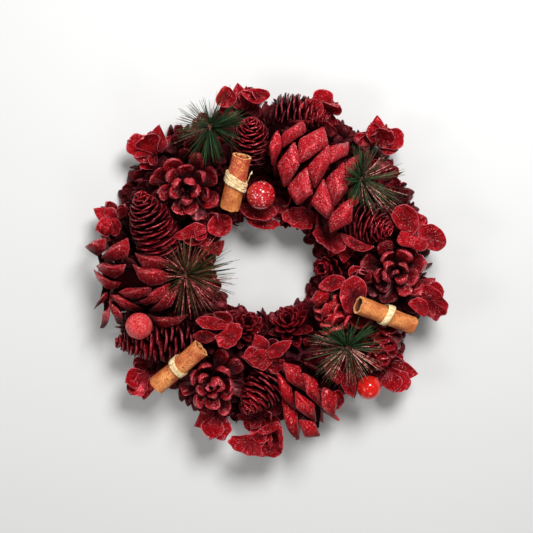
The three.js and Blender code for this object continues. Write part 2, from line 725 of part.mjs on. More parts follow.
for (const { name, at, finish: look, ...burst } of sprigs) {
  const body = seated(solidOf(needleBurst(burst).translate(...at)), pickTo(at, 1.8));
  place(`sprig_${name}`, body, look);
}

const footprint = new THREE.Box3().setFromObject(wreath);
const middle = footprint.getCenter(new THREE.Vector3());
wreath.position.set(-middle.x, -middle.y, -footprint.min.z);

export default wreath;
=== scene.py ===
import math

import bpy
import numpy as np
from mathutils import Matrix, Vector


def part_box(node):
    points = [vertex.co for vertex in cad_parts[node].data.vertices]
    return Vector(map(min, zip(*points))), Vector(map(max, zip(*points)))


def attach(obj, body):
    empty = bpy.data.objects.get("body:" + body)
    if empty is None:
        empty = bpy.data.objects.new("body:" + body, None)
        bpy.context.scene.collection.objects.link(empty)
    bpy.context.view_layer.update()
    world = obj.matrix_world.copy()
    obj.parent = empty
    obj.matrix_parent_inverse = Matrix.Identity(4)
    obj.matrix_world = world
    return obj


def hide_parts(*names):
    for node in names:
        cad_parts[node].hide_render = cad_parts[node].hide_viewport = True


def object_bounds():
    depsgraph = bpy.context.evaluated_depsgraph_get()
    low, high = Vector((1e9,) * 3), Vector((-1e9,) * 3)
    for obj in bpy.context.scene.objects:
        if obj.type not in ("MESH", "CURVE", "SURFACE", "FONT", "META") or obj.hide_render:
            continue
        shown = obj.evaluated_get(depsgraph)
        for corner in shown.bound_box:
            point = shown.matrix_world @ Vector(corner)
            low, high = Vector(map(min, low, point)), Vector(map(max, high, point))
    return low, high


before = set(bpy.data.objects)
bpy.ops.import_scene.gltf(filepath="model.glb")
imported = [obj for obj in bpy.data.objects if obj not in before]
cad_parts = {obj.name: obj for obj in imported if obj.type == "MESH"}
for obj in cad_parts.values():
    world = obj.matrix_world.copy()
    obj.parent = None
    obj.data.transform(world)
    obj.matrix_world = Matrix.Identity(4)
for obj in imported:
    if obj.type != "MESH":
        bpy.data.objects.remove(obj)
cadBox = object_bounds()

print("frame loaded")

# Camera, in millimetres from the middle of the wreath; pixels is the width and the height of its picture

view = {
    "aim": (1.35, 3.15, 40.0), "tilt": 9.0, "distance": 1150.0, "lens": 86.3, "sensor": 36.0,
    "pixels": 533.0,
}
millimetre = 0.001

ringLow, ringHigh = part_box("ring_base")
middle = np.array([(ringLow[0] + ringHigh[0]) / 2, (ringLow[1] + ringHigh[1]) / 2, 0.0])
lean = math.radians(view["tilt"])
forward = -np.array([0, math.sin(lean), math.cos(lean)])
upward = np.array([0, math.cos(lean), -math.sin(lean)])
eye = np.array(view["aim"]) - view["distance"] * forward


def inFrame(points):
    return np.asarray(points, float) * millimetre + middle


# The point at height z that the camera sees at a place in its picture
def spot(px, py, z):
    half = view["pixels"] / 2
    reach = view["sensor"] / view["lens"]
    ray = forward + np.array([1.0, 0, 0]) * (px - half) / view["pixels"] * reach
    ray = ray + upward * (half - py) / view["pixels"] * reach
    return eye + ray * (z - eye[2]) / ray[2]


cameraData = bpy.data.cameras.new("camera")
cameraData.lens = view["lens"]
cameraData.sensor_width = view["sensor"]
cameraData.clip_start = 0.01
cameraData.clip_end = 20
camera = bpy.data.objects.new("camera", cameraData)
camera.location = inFrame(eye)
camera.rotation_euler = (-lean, 0, 0)
bpy.context.collection.objects.link(camera)
bpy.context.scene.camera = camera

# Small helpers for numbers and directions

goldenAngle = math.pi * (3 - math.sqrt(5))


def unit(vector):
    return vector / np.linalg.norm(vector)


def mix(a, b, share):
    return a + (b - a) * share


def ease(value):
    value = np.clip(value, 0, 1)
    return value * value * (3 - 2 * value)


# Evenly spaced angles, once round
def roundAngles(sides):
    return np.arange(sides) / sides * 2 * math.pi


# The way that a heading and a rise point, both in radians
def direction(turn, rise):
    return np.array([math.cos(turn) * math.cos(rise), math.sin(turn) * math.cos(rise), math.sin(rise)])


def turned(angle, axis):
    c, s = math.cos(angle), math.sin(angle)
    x, y, z = axis
    return np.array([
        [c + x * x * (1 - c), x * y * (1 - c) - z * s, x * z * (1 - c) + y * s],
        [y * x * (1 - c) + z * s, c + y * y * (1 - c), y * z * (1 - c) - x * s],
        [z * x * (1 - c) - y * s, z * y * (1 - c) + x * s, c + z * z * (1 - c)],
    ])


# A rotation whose columns are along, across and up, from two directions
def facing(along, up):
    along = unit(np.asarray(along, float))
    up = np.asarray(up, float)
    up = unit(up - along * np.dot(up, along))
    return np.stack([along, np.cross(up, along), up], 1)


# A rotation from a heading, a rise and a roll in degrees
def heading(turn, rise, roll):
    level = facing(direction(math.radians(turn), math.radians(rise)), (0, 0, 1))
    return turned(math.radians(roll), level[:, 0]) @ level


# Heaps of shapes, one for each piece

heaps = []
past = {"low": (-3, -7.5, 0.05), "high": (3, 3, -0.05)}  # how far a piece may pass the box of the solids


# A heap of shapes that becomes one mesh, with how rimmed, lit and frosted each point is
class Heap:
    def __init__(self):
        self.points, self.faces, self.finish = [], [], []
        self.rim, self.shade, self.frost = [], [], []
        self.count = 0

    # Each group holds faces with one number of corners
    def add(self, points, *groups, rim=0.0, shade=0.5, frost=0.0, finish=0):
        for group in groups:
            self.faces.extend((np.asarray(group) + self.count).tolist())
            self.finish.extend([finish] * len(group))
        for store, value in ((self.rim, rim), (self.shade, shade), (self.frost, frost)):
            store.append(np.broadcast_to(np.asarray(value, float), (len(points),)))
        self.points.append(np.asarray(points, float))
        self.count += len(points)

    def piece(self, name, nodes, slot, materials):
        low = (np.array(cadBox[0]) - middle) / millimetre + past["low"]
        high = (np.array(cadBox[1]) - middle) / millimetre + past["high"]
        self.points = np.clip(np.concatenate(self.points), low, high)
        marks = (self.rim, self.shade, self.frost)
        self.rim, self.shade, self.frost = (np.concatenate(store) for store in marks)
        self.name, self.nodes, self.slot, self.materials = name, nodes, slot, materials
        heaps.append(self)

    def build(self):
        mesh = bpy.data.meshes.new(self.name)
        mesh.from_pydata(inFrame(self.points).tolist(), [], self.faces)
        for label in ("rim", "shade", "frost"):
            mark = mesh.attributes.new(label, "FLOAT", "POINT")
            mark.data.foreach_set("value", getattr(self, label).astype(np.float32))
        for material in self.materials:
            mesh.materials.append(material)
        mesh.polygons.foreach_set("material_index", self.finish)
        mesh.polygons.foreach_set("use_smooth", [True] * len(mesh.polygons))
        mesh.update()
        piece = bpy.data.objects.new(self.name, mesh)
        bpy.context.collection.objects.link(piece)
        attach(piece, "root")
        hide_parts(*self.nodes)


depthShade = {
    "reach": 180, "cell": 3.0,  # the area looked at and the cells that it is split into
    "from": 4, "to": 26, "hidden": 0.88,  # how deep a point lies where its painted shade starts and is darkest, and how dark that gets
    "inner": 50, "outer": 150, "slope": 12, "open": 0.45,  # round the hole and outside, less painted shade
    "thin": ("green_needles", "frosted_needles"),  # these shade nothing
}


# Painted shade: what lies deep under its neighbours is darkened, as shade falls there and as the sprayed
# paint from the front reaches it less; its pale rim is darkened too, except on the cinnamon
def paintDepthShade(s):
    size = int(2 * s["reach"] / s["cell"])
    tops = np.zeros((size, size))

    def cell(points):
        return np.clip(((points[:, :2] + s["reach"]) / s["cell"]).astype(int), 0, size - 1).T

    for heap in heaps:
        if heap.slot not in s["thin"]:
            column, row = cell(heap.points)
            np.maximum.at(tops, (column, row), heap.points[:, 2])
    shifts = [(i, k) for i in range(-2, 3) for k in range(-2, 3)]
    widened = np.max([np.roll(tops, shift, (0, 1)) for shift in shifts], 0)
    softened = np.mean([np.roll(widened, shift, (0, 1)) for shift in shifts], 0)
    for heap in heaps:
        column, row = cell(heap.points)
        depth = softened[column, row] - heap.points[:, 2]
        out = np.hypot(heap.points[:, 0], heap.points[:, 1])
        inside = ease((out - s["inner"]) / s["slope"]) * ease((s["outer"] - out) / s["slope"])
        sunk = ease((depth - s["from"]) / (s["to"] - s["from"]))
        depthShadeFactor = 1 - s["hidden"] * mix(s["open"], 1.0, inside) * sunk
        heap.shade = heap.shade * depthShadeFactor
        heap.rim = heap.rim * depthShadeFactor if heap.slot != "cinnamon" else heap.rim


# Shapes that a heap is made of

sheetCache = {}


# The faces of a scale: a grid above and a smaller one below that meet along its edge
def sheetFaces(along, across):
    if (along, across) not in sheetCache:
        upper = np.arange((along + 1) * (across + 1)).reshape(along + 1, across + 1)
        lower = upper.copy()
        lower[1:-1, 1:-1] = upper.size + np.arange((along - 1) * (across - 1)).reshape(along - 1, across - 1)
        top = np.stack([upper[:-1, :-1], upper[1:, :-1], upper[1:, 1:], upper[:-1, 1:]], -1)
        under = np.stack([lower[:-1, :-1], lower[:-1, 1:], lower[1:, 1:], lower[1:, :-1]], -1)
        sheetCache[along, across] = np.concatenate([top.reshape(-1, 4), under.reshape(-1, 4)])
    return sheetCache[along, across]


# The faces over rings of points, each ring joined to the next
def skin(rows, sides):
    index = np.arange(rows * sides).reshape(rows, sides)
    wrap = np.roll(index, -1, axis=1)
    return np.stack([index[:-1], wrap[:-1], wrap[1:], index[1:]], -1).reshape(-1, 4)


# The faces from the first and the last ring to the two points that come after the rings
def closing(rows, sides):
    first = np.arange(sides)
    last = first + (rows - 1) * sides
    tip = np.full(sides, rows * sides)
    opening = np.stack([tip, np.roll(first, -1), first], -1)
    ending = np.stack([tip + 1, last, np.roll(last, -1)], -1)
    return np.stack([opening, ending], 1).reshape(-1, 3)


# A scale or petal, unless its piece says otherwise; length, width and thick always come from the piece
scaleUsual = {
    "steps": (8, 8), "crowd": 1.6,  # faces along and across, and how they crowd towards the end
    "neck": 0.3, "wide": 0.62,  # how wide the root is, and where the scale is widest
    "blunt": 2.0, "point": 0.5, "heavy": 1.0,  # how its end is rounded, and how thick it is there
    "curl": 1e-4, "cup": 0, "lip": 0,  # bent up, sides lifted, end flicked
    "ridge": 0, "belly": 0, "rough": 0.15, "streaks": 0,  # creased, swollen, uneven, streaked along
    "wave": 0, "ruffles": 3, "scallop": 0, "lobes": 5,  # its rim, up and down and in and out
    "rimFrom": 0.78, "frontRim": False,  # where the pale rim, partly a painted highlight, starts, and whether only the end has it
    "rootShade": 0.35, "fade": 1.0, "sideShade": 0,  # painted shade: how dark the root is, how far up that reaches, and how dark the sides are
}


# One scale or petal: its root at the origin, its length along +X and its upper side to +Z
def addScale(heap, origin, turn, shape, rng, shade):
    s = dict(scaleUsual, **shape)
    along, across = s["steps"]
    u = 1 - (1 - np.linspace(0, 1, along + 1)) ** s["crowd"]
    v = np.sin(np.linspace(-1, 1, across + 1) * math.pi / 2 * 0.999)
    u, v = np.meshgrid(u, v, indexing="ij")
    end = np.clip((u - s["wide"]) / (1 - s["wide"]), 0, 1)
    grow = s["neck"] + (1 - s["neck"]) * ease(u / s["wide"])
    width = np.maximum(grow * np.clip(1 - end ** s["blunt"], 0, 1) ** s["point"], 0.02)
    phase = rng.uniform(0, 6.28, 6)
    edge = np.maximum(np.abs(v), end)
    around = np.arctan2(v, (u - 0.45) * 2)
    scallop = 1 + s["scallop"] * edge ** 4 * np.sin(s["lobes"] * around + phase[0])
    bend = s["curl"] * u
    x = s["length"] * np.sin(bend) / s["curl"] * (1 + (scallop - 1) * 0.5)
    y = s["width"] / 2 * width * v * scallop
    z = s["length"] * (1 - np.cos(bend)) / s["curl"] + s["length"] * s["lip"] * u ** 5 / 5
    lift = s["cup"] * v * v * width + s["ridge"] * (1 - np.abs(v)) * width
    lift = lift + s["wave"] * edge ** 3 * np.sin(s["ruffles"] * around + phase[1])
    lift = lift + s["rough"] * np.sin(u * 9 + phase[2]) * np.sin(v * 5 + phase[3])
    inward = np.maximum(1 - v * v, 0)
    lift = lift + s["streaks"] * np.sin(v * 11 + phase[4]) * np.sin(math.pi * u) * np.sqrt(inward)
    body = s["thick"] / 2 * np.sqrt(np.clip(1 - np.abs(v) ** 6, 0, 1)) * np.sqrt(np.clip(1 - end ** 8, 0, 1))
    body = body * np.clip(u * 12, 0, 1) * mix(1.0, s["heavy"], u)
    belly = s["belly"] * (1 - v * v) * np.sin(math.pi * np.clip(u, 0, 1)) ** 0.8

    def layer(offset):
        return np.stack([x - np.sin(bend) * offset, y, z + np.cos(bend) * offset], -1)

    upper = layer(lift + body + belly).reshape(-1, 3)
    lower = layer(lift - body)[1:-1, 1:-1].reshape(-1, 3)
    if s["frontRim"]:
        edge = np.maximum(end, np.abs(v) * ease(end * 2)) * (1 - 0.35 * v * v)
    # The pale rim, partly a painted highlight, and painted shade: darker at the root and the sides, and
    # darker on the underside
    rim = ease((edge - s["rimFrom"]) / (1 - s["rimFrom"]))
    tone = shade * mix(s["rootShade"], 1.0, ease(u * 1.2) ** s["fade"]) * (1 - s["sideShade"] * v * v)
    rim = np.concatenate([rim.reshape(-1), 0.6 * rim[1:-1, 1:-1].reshape(-1)])
    tone = np.concatenate([tone.reshape(-1), 0.8 * tone[1:-1, 1:-1].reshape(-1)])
    heap.add(np.concatenate([upper, lower]) @ turn.T + origin, sheetFaces(along, across), rim=rim, shade=tone)


# A tube along a list of points, with a radius at each
def addTube(heap, path, radii, sides=6, **marks):
    path = np.asarray(path, float)
    radii = np.broadcast_to(np.asarray(radii, float), (len(path),))[:, None, None]
    ways = np.gradient(path, axis=0)
    ways /= np.linalg.norm(ways, axis=1)[:, None]
    side = np.cross(ways, (0.31, 0.17, 0.93))
    side /= np.linalg.norm(side, axis=1)[:, None]
    other = np.cross(ways, side)
    angles = roundAngles(sides)[None, :, None]
    rings = path[:, None] + radii * (side[:, None] * np.cos(angles) + other[:, None] * np.sin(angles))
    points = rings.reshape(-1, 3)
    if sides == 4:
        ends = np.array([[3, 2, 1, 0], len(points) - 4 + np.arange(4)])
        heap.add(points, skin(len(path), sides), ends, **marks)
    else:
        points = np.concatenate([points, path[[0, -1]]])
        heap.add(points, skin(len(path), sides), closing(len(path), sides), **marks)


# A closed surface through rings of points, with its ends drawn to a point each
def addLoft(heap, rings, **marks):
    rings = np.asarray(rings, float)
    rows, sides = rings.shape[:2]
    points = np.concatenate([rings.reshape(-1, 3), rings[[0, -1]].mean(1)])
    heap.add(points, skin(rows, sides), closing(rows, sides), **marks)


# A closed smooth curve through the points of an outline; a crisp one keeps its edges nearly straight
def smoothOutline(points, amount, crisp):
    points = np.asarray(points, float)
    if crisp:
        following = np.roll(points, -1, axis=0)
        leaving, arriving = mix(points, following, 0.25), mix(points, following, 0.75)
        corners = mix(points, (leaving + np.roll(arriving, 1, axis=0)) / 2, crisp)
        points = np.stack([corners, leaving, arriving], 1).reshape(-1, points.shape[-1])
    count = len(points)
    place = np.arange(amount) / amount * count
    k = place.astype(int)
    f = (place - k)[:, None]
    a, b, c, d = (points[(k + shift) % count] for shift in (-1, 0, 1, 2))
    return b + 0.5 * f * (c - a + f * (2 * a - 5 * b + 4 * c - d + f * (3 * (b - c) + d - a)))


# A plate, unless its piece says otherwise; thick always comes from the piece
plateUsual = {
    "around": 40, "rings": 10, "crowd": 1.5,  # points round it, rings, and how these crowd to its rim
    "crisp": 0, "spread": 1.0, "scallop": 0, "lobes": 9,  # straight edges, size and frills of its outline
    "power": 6, "dome": 0, "cup": 0, "fold": 0, "sag": 0,  # how full its rim is; raised, dished, folded, bent
    "ridge": 0, "crest": 0, "weave": 0.25,  # a crease along it, where that runs and how it wanders
    "wave": 0, "ruffles": 3, "rough": 0.3, "veins": 0,  # its rim and its face
    "rimFrom": 0.88, "crestHighlight": 0, "heart": 0.6,  # where the pale rim, partly a painted highlight, starts, a painted highlight along the crest, and how lit its middle is, as painted light
    "fall": 0, "fallWay": (0.4, -0.9),  # painted shade and light: how much it darkens, towards where, and lightens the other way
}


# A plate whose outline is laid where it shows in the picture, in a plane through height z
def addPlate(heap, outline, z, slopes, shape, rng, shade):
    s = dict(plateUsual, **shape)
    xs, ys = np.array(outline).T
    outline = outline[::-1] if np.dot(xs, np.roll(ys, -1)) > np.dot(ys, np.roll(xs, -1)) else outline
    flat = np.array([spot(px, py, z) for px, py in outline])
    centre = flat.mean(0)
    for _ in range(2):
        heights = z + (flat[:, :2] - centre[:2]) @ np.array(slopes)
        flat = np.array([spot(px, py, height) for (px, py), height in zip(outline, heights)])
        centre = flat.mean(0)
    normal = unit(np.array([-slopes[0], -slopes[1], 1.0]))
    edge = (smoothOutline(flat, s["around"], s["crisp"]) - centre) * s["spread"]
    spokes = np.linspace(0, 2 * math.pi, s["around"], endpoint=False)
    phase = rng.uniform(0, 6.28, 5)
    edge = edge * (1 + s["scallop"] * np.sin(s["lobes"] * spokes + phase[0]))[:, None]
    size = np.linalg.norm(edge, axis=1).mean()
    longWay = edge[np.argmax(np.linalg.norm(edge, axis=1))]
    longWay = unit(longWay - normal * np.dot(longWay, normal))
    sideWay = np.cross(normal, longWay)
    sideWay = sideWay if sideWay[1] > 0 else -sideWay
    fallWay = np.array([*s["fallWay"], 0.0])
    rimTone = 0.55 + 0.45 * np.sin(2 * spokes + phase[2]) * np.sin(spokes + phase[3])
    reach = 1 - (1 - np.linspace(0.06, 1, s["rings"])) ** s["crowd"]
    rows, rims, lights = [], [], []
    for side, steps in ((-1, reach[:-1]), (1, reach[::-1])):
        upper = side > 0
        for r in steps:
            spread = edge * r
            along = spread @ longWay / size
            across = spread @ sideWay / size
            crease = s["crest"] + s["weave"] * np.sin(3 * along + phase[3])
            body = s["thick"] / 2 * math.sqrt(max(1 - r ** s["power"], 0))
            lift = s["dome"] * (1 - r * r) * upper + s["cup"] * r ** 2.5
            lift = lift + s["fold"] * across ** 2 + s["sag"] * along ** 2
            lift = lift + s["ridge"] * (1 - np.abs(across - crease)) * (1 - r * r) * upper
            lift = lift + s["wave"] * r ** 3 * np.sin(s["ruffles"] * spokes + phase[1])
            lift = lift + s["rough"] * np.sin(5 * along + phase[2]) * np.sin(6 * across + phase[4])
            lift = lift + s["veins"] * r * (1 - r) * 4 * np.sin(14 * spokes + phase[0])
            rows.append(centre + spread + normal * (lift + side * body)[:, None])
            # Painted light: the pale rim and the crest highlight show only where the plate is lit, its middle
            # is lit by heart, its underside is darker and it darkens towards fallWay
            rimmed = ease((r - s["rimFrom"]) / (1 - s["rimFrom"])) * rimTone
            crestGlint = s["crestHighlight"] * np.exp(-((across - crease) / 0.05) ** 2) * upper * (1 - r ** 4)
            falling = np.clip(1 - s["fall"] * np.clip(spread @ fallWay / size, -1, 1), 0.15, 1.4)
            rims.append(np.maximum(rimmed, crestGlint) * np.clip(falling, 0.1, 1))
            lights.append(shade * mix(s["heart"], 1.0, r ** 1.5) * (1.0 if upper else 0.6) * falling)
    rim = np.concatenate([*rims, (0, 0)])
    light = np.concatenate([*lights, (0.3 * shade, s["heart"] * shade)])
    addLoft(heap, rows, rim=rim, shade=light)
    return centre


# Materials


def linear(text):
    values = [int(text[i:i + 2], 16) / 255 for i in (1, 3, 5)]
    return tuple(v / 12.92 if v <= 0.04045 else ((v + 0.055) / 1.055) ** 2.4 for v in values) + (1.0,)


# Where a colour mix has its share, its two colours and its result
mixSockets = {"share": 0, "a": 6, "b": 7, "result": 2}


class Finish:
    def __init__(self, name, roughness=0.5):
        self.material = bpy.data.materials.new(name)
        self.material.use_nodes = True
        self.nodes = self.material.node_tree.nodes
        self.links = self.material.node_tree.links
        self.shader = self.nodes["Principled BSDF"]
        self.shader.inputs["Roughness"].default_value = roughness
        self.coordinates = self.nodes.new("ShaderNodeTexCoord").outputs["Object"]

    def link(self, source, target):
        self.links.new(source, target)

    def feed(self, value, target):
        if isinstance(value, (int, float, tuple)):
            target.default_value = value
        else:
            self.link(value, target)

    def mark(self, label):
        node = self.nodes.new("ShaderNodeAttribute")
        node.attribute_name = label
        return node.outputs["Fac"]

    def noise(self, scale, detail):
        node = self.nodes.new("ShaderNodeTexNoise")
        node.inputs["Scale"].default_value = scale
        node.inputs["Detail"].default_value = detail
        self.link(self.coordinates, node.inputs["Vector"])
        return node.outputs["Fac"]

    # Grains: how far from its middle a point lies, and two numbers that each grain has
    def cells(self, scale):
        node = self.nodes.new("ShaderNodeTexVoronoi")
        node.inputs["Scale"].default_value = scale
        self.link(self.coordinates, node.inputs["Vector"])
        split = self.nodes.new("ShaderNodeSeparateColor")
        self.link(node.outputs["Color"], split.inputs["Color"])
        pick, turn = split.outputs["Red"], split.outputs["Green"]
        return {"distance": node.outputs["Distance"], "pick": pick, "turn": turn}

    def range(self, source, low, high, start=0.0, end=1.0):
        node = self.nodes.new("ShaderNodeMapRange")
        node.inputs["From Min"].default_value = low
        node.inputs["From Max"].default_value = high
        node.inputs["To Min"].default_value = start
        node.inputs["To Max"].default_value = end
        self.link(source, node.inputs["Value"])
        return node.outputs["Result"]

    def combine(self, kind, a, b):
        node = self.nodes.new("ShaderNodeMath")
        node.operation = kind
        self.feed(a, node.inputs[0])
        self.feed(b, node.inputs[1])
        return node.outputs["Value"]

    def times(self, a, b):
        return self.combine("MULTIPLY", a, b)

    def blend(self, share, a, b):
        node = self.nodes.new("ShaderNodeMix")
        node.data_type = "RGBA"
        self.feed(share, node.inputs[mixSockets["share"]])
        self.feed(a, node.inputs[mixSockets["a"]])
        self.feed(b, node.inputs[mixSockets["b"]])
        return node.outputs[mixSockets["result"]]

    def colour(self, source, usual):
        self.shader.inputs["Base Color"].default_value = usual
        self.material.diffuse_color = usual
        self.link(source, self.shader.inputs["Base Color"])

    def gloss(self, level, tint):
        self.shader.inputs["Specular IOR Level"].default_value = level
        self.shader.inputs["Specular Tint"].default_value = linear(tint)

    def bump(self, parts):
        last = None
        for height, strength, distance in parts:
            node = self.nodes.new("ShaderNodeBump")
            node.inputs["Strength"].default_value = strength
            node.inputs["Distance"].default_value = distance
            self.link(height, node.inputs["Height"])
            if last:
                self.link(last, node.inputs["Normal"])
            last = node.outputs["Normal"]
        self.link(last, self.shader.inputs["Normal"])


# A sprayed finish, unless it says otherwise; deep and body, its colour in painted shade and its lit colour,
# are always its own
paintUsual = {
    "rim": "#F0505A", "rimShare": 0.75,  # colour and strength of the pale rim, partly a painted highlight
    "mottle": 260, "spread": 0.22,  # fineness and strength of the blotches
    "grain": "#FFC8C6", "grainScale": 900, "grains": 0.16,  # glitter, whose pale grains are partly painted glints: colour, fineness, how much of it
    "bright": 0.5, "depths": 0.25, "face": 0.7,  # how lit it has to be, in the dark, off the rim
    "powder": "#C02630", "dustAndSheen": 0.45,  # fine dust that shows where lit, partly a painted sheen, with dark pits: colour and strength
    "rough": 0.18, "gloss": 0.6, "sheen": "#FF7C84", "sparkle": 0.5, "relief": 1.0,
}
fineGrain = {"scale": 1100, "detail": 2}


# Spray paint with glitter and painted light: the deep colour as painted shade where the shade mark is low,
# lighter on the lit ends, a pale rim that is partly a painted highlight, and glitter grains whose glints are
# painted where it is lit
def sprayed(name, changes):
    s = dict(paintUsual, **changes)
    f = Finish(name)
    deep, body, rim, grain, powder = (linear(s[key]) for key in ("deep", "body", "rim", "grain", "powder"))
    mottle = f.noise(s["mottle"], 4)
    fine = f.noise(fineGrain["scale"], fineGrain["detail"])
    shade = f.mark("shade")
    # Painted shade: the shade mark mixes the deep colour into the body colour
    lit = f.times(shade, f.range(mottle, 0.32, 0.68, 1 - 1.3 * s["spread"], 1 + 1.3 * s["spread"]))
    base = f.blend(f.range(lit, 0.0, 1.0), deep, body)
    # The pale rim, partly a painted highlight
    edge = f.times(f.mark("rim"), f.range(fine, 0.3, 0.65, 0.35, 1.0))
    base = f.blend(f.times(edge, s["rimShare"]), base, rim)
    # Fine dust, lighter where the shade mark is high, partly a painted sheen, and dark pits
    dustAndSheen = f.cells(s["grainScale"] * 1.4)
    dustSheen = f.times(f.combine("POWER", dustAndSheen["pick"], 2.5), f.range(shade, 0.1, 0.8))
    base = f.blend(f.times(dustSheen, s["dustAndSheen"]), base, powder)
    pits = f.times(f.range(dustAndSheen["turn"], 0.35, 0.0), s["dustAndSheen"])
    base = f.blend(f.times(pits, 0.45), base, deep)
    # Glitter grains, fewer where dark and more on the rim, so their pale glints are partly painted highlights
    glitter = f.cells(s["grainScale"])
    uneven = f.combine("SUBTRACT", glitter["distance"], f.times(glitter["turn"], 0.26))
    flakeGlints = f.times(f.range(uneven, 0.3, 0.14), f.range(glitter["pick"], 1 - s["grains"], 1.0))
    flakeGlints = f.times(flakeGlints, f.range(f.noise(110, 3), 0.36, 0.56, 0.15, 1.0))
    flakeGlints = f.times(flakeGlints, f.range(shade, 0.0, s["bright"], s["depths"], 1.0))
    flakeGlints = f.times(flakeGlints, f.range(f.mark("rim"), 0.0, 0.6, s["face"], 1.0))
    f.colour(f.blend(flakeGlints, base, grain), tuple(mix(np.array(deep), np.array(body), 0.6)))
    rough = f.range(shade, 0.1, 0.7, s["rough"] + 0.3, s["rough"])
    rough = f.combine("ADD", rough, f.range(fine, 0.3, 0.7, -0.04, 0.1))
    f.link(f.combine("SUBTRACT", rough, f.times(flakeGlints, 0.15)), f.shader.inputs["Roughness"])
    f.gloss(s["gloss"], s["sheen"])
    f.bump([(mottle, 0.35 * s["relief"], 0.001), (fine, 0.3 * s["relief"], 0.0004),
            (dustAndSheen["turn"], s["sparkle"], 0.0003)])
    return f.material


paint = {
    "broad": sprayed("red glitter scales", {
        "deep": "#1C0002", "body": "#A00512", "rim": "#C82838", "powder": "#D84852", "rimShare": 0.15,
        "grains": 0.55, "dustAndSheen": 0.5, "sparkle": 1.0, "spread": 0.44, "mottle": 520, "bright": 1.0,
        "depths": 0.0, "relief": 1.3}),
    "satin": sprayed("satin red scales", {
        "deep": "#1C0103", "body": "#9C0510", "rim": "#F05C64", "grain": "#FFB8B4", "powder": "#B8242A",
        "grains": 0.52, "dustAndSheen": 0.4, "rough": 0.12, "sparkle": 0.6, "spread": 0.42, "mottle": 400,
        "bright": 0.8, "depths": 0.0, "relief": 0.7}),
    "creased": sprayed("creased red scales", {
        "deep": "#200103", "body": "#A00512", "rim": "#F87C86", "powder": "#CC3C46", "rimShare": 0.6,
        "grainScale": 860, "grains": 0.62, "rough": 0.2, "gloss": 0.3, "sparkle": 0.9, "spread": 0.56,
        "mottle": 440, "bright": 0.7, "depths": 0.0, "relief": 1.2, "sheen": "#FF6C74"}),
    "open": sprayed("burgundy open scales", {
        "deep": "#0E0002", "body": "#8C0510", "rim": "#EE5864", "grain": "#FFBCBC", "powder": "#B82630",
        "rimShare": 0.8, "grainScale": 920, "grains": 0.55, "rough": 0.08, "gloss": 0.8, "sparkle": 0.6,
        "face": 0.55, "spread": 0.32, "relief": 0.4, "depths": 0.1, "sheen": "#FF8C96"}),
    "long": sprayed("burgundy long scales", {
        "deep": "#050001", "body": "#74040E", "rim": "#D84C58", "grain": "#FFB4BC", "powder": "#9A1A24",
        "grainScale": 980, "grains": 0.14, "dustAndSheen": 0.25, "rough": 0.1, "gloss": 0.9, "sparkle": 0.3,
        "spread": 0.3, "relief": 0.4, "depths": 0.05, "sheen": "#FF808A"}),
    "dark": sprayed("dark burgundy scales", {
        "deep": "#0A0001", "body": "#64040B", "rim": "#A02632", "grain": "#F08C98", "powder": "#861620",
        "rimShare": 0.55, "grainScale": 980, "dustAndSheen": 0.35, "gloss": 0.5, "relief": 0.6, "depths": 0.1,
        "sheen": "#FF7884"}),
    "petal": sprayed("red dried petals", {
        "deep": "#140001", "body": "#98060F", "rim": "#FF8896", "grain": "#FFC0C0", "rimShare": 0.9,
        "grainScale": 1000, "grains": 0.3, "rough": 0.22, "gloss": 0.38, "sparkle": 0.6, "face": 0.5,
        "spread": 0.32, "mottle": 320, "relief": 0.7, "depths": 0.1, "sheen": "#FF7482"}),
    "berry": sprayed("berry glitter", {
        "deep": "#5C0408", "body": "#B00A10", "grain": "#FFF0EC", "powder": "#E0505A", "rimShare": 0.3,
        "grainScale": 700, "grains": 0.3, "dustAndSheen": 0.4, "rough": 0.05, "gloss": 1.0, "sparkle": 0.25,
        "face": 1.0, "relief": 0.2, "sheen": "#FFC8C8"}),
    "coral": sprayed("coral berry", {
        "deep": "#5E0810", "body": "#CE1E28", "grain": "#FFC4BC", "powder": "#F07C78", "rimShare": 0.3,
        "grainScale": 950, "dustAndSheen": 0.75, "rough": 0.3, "gloss": 0.4, "sparkle": 0.9, "face": 1.0,
        "spread": 0.34, "mottle": 420, "sheen": "#FFB0B0"}),
    # Near black: the cone middles and stems between the scales, a painted shade
    "core": sprayed("cone middles in painted shade", {
        "deep": "#060001", "body": "#2A0206", "rim": "#3A060C", "grain": "#C05860", "powder": "#40080E",
        "rimShare": 0.2, "grains": 0.08, "dustAndSheen": 0.3, "rough": 0.6, "gloss": 0.08, "sheen": "#FF8080"}),
    "smooth": sprayed("smooth berry", {
        "deep": "#A00C0A", "body": "#CC1812", "rim": "#F0504A", "grain": "#FF9C90", "powder": "#E03A30",
        "rimShare": 0.2, "grainScale": 950, "grains": 0.08, "dustAndSheen": 0.25, "rough": 0.1, "gloss": 0.7,
        "sparkle": 0.1, "face": 1.0, "spread": 0.16, "relief": 0.2, "sheen": "#FFC0B8"}),
}


# Needles: dark to light green by the shade mark, a painted shade darker at the root and below, and where they
# are frosted, a mix of two tones of glitter
def needleFinish(name, green, frosted):
    f = Finish(name, 0.45)
    f.gloss(0.22, "#C8D8A8")
    base = f.blend(f.mark("shade"), linear(green[0]), linear(green[1]))
    grains = f.cells(640)
    ice = f.blend(f.range(grains["pick"], 0.4, 0.75), linear(frosted[0]), linear(frosted[1]))
    f.colour(f.blend(f.mark("frost"), base, ice), linear(green[1]))
    f.bump([(grains["turn"], 0.5, 0.0002)])
    return f.material


needleFinishes = {
    "green_needles": needleFinish("green needles", ("#030702", "#446842"), ("#8A1824", "#FFB8AC")),
    "frosted_needles": needleFinish("frosted needles", ("#080601", "#565230"), ("#8A0E1A", "#F88A88")),
}


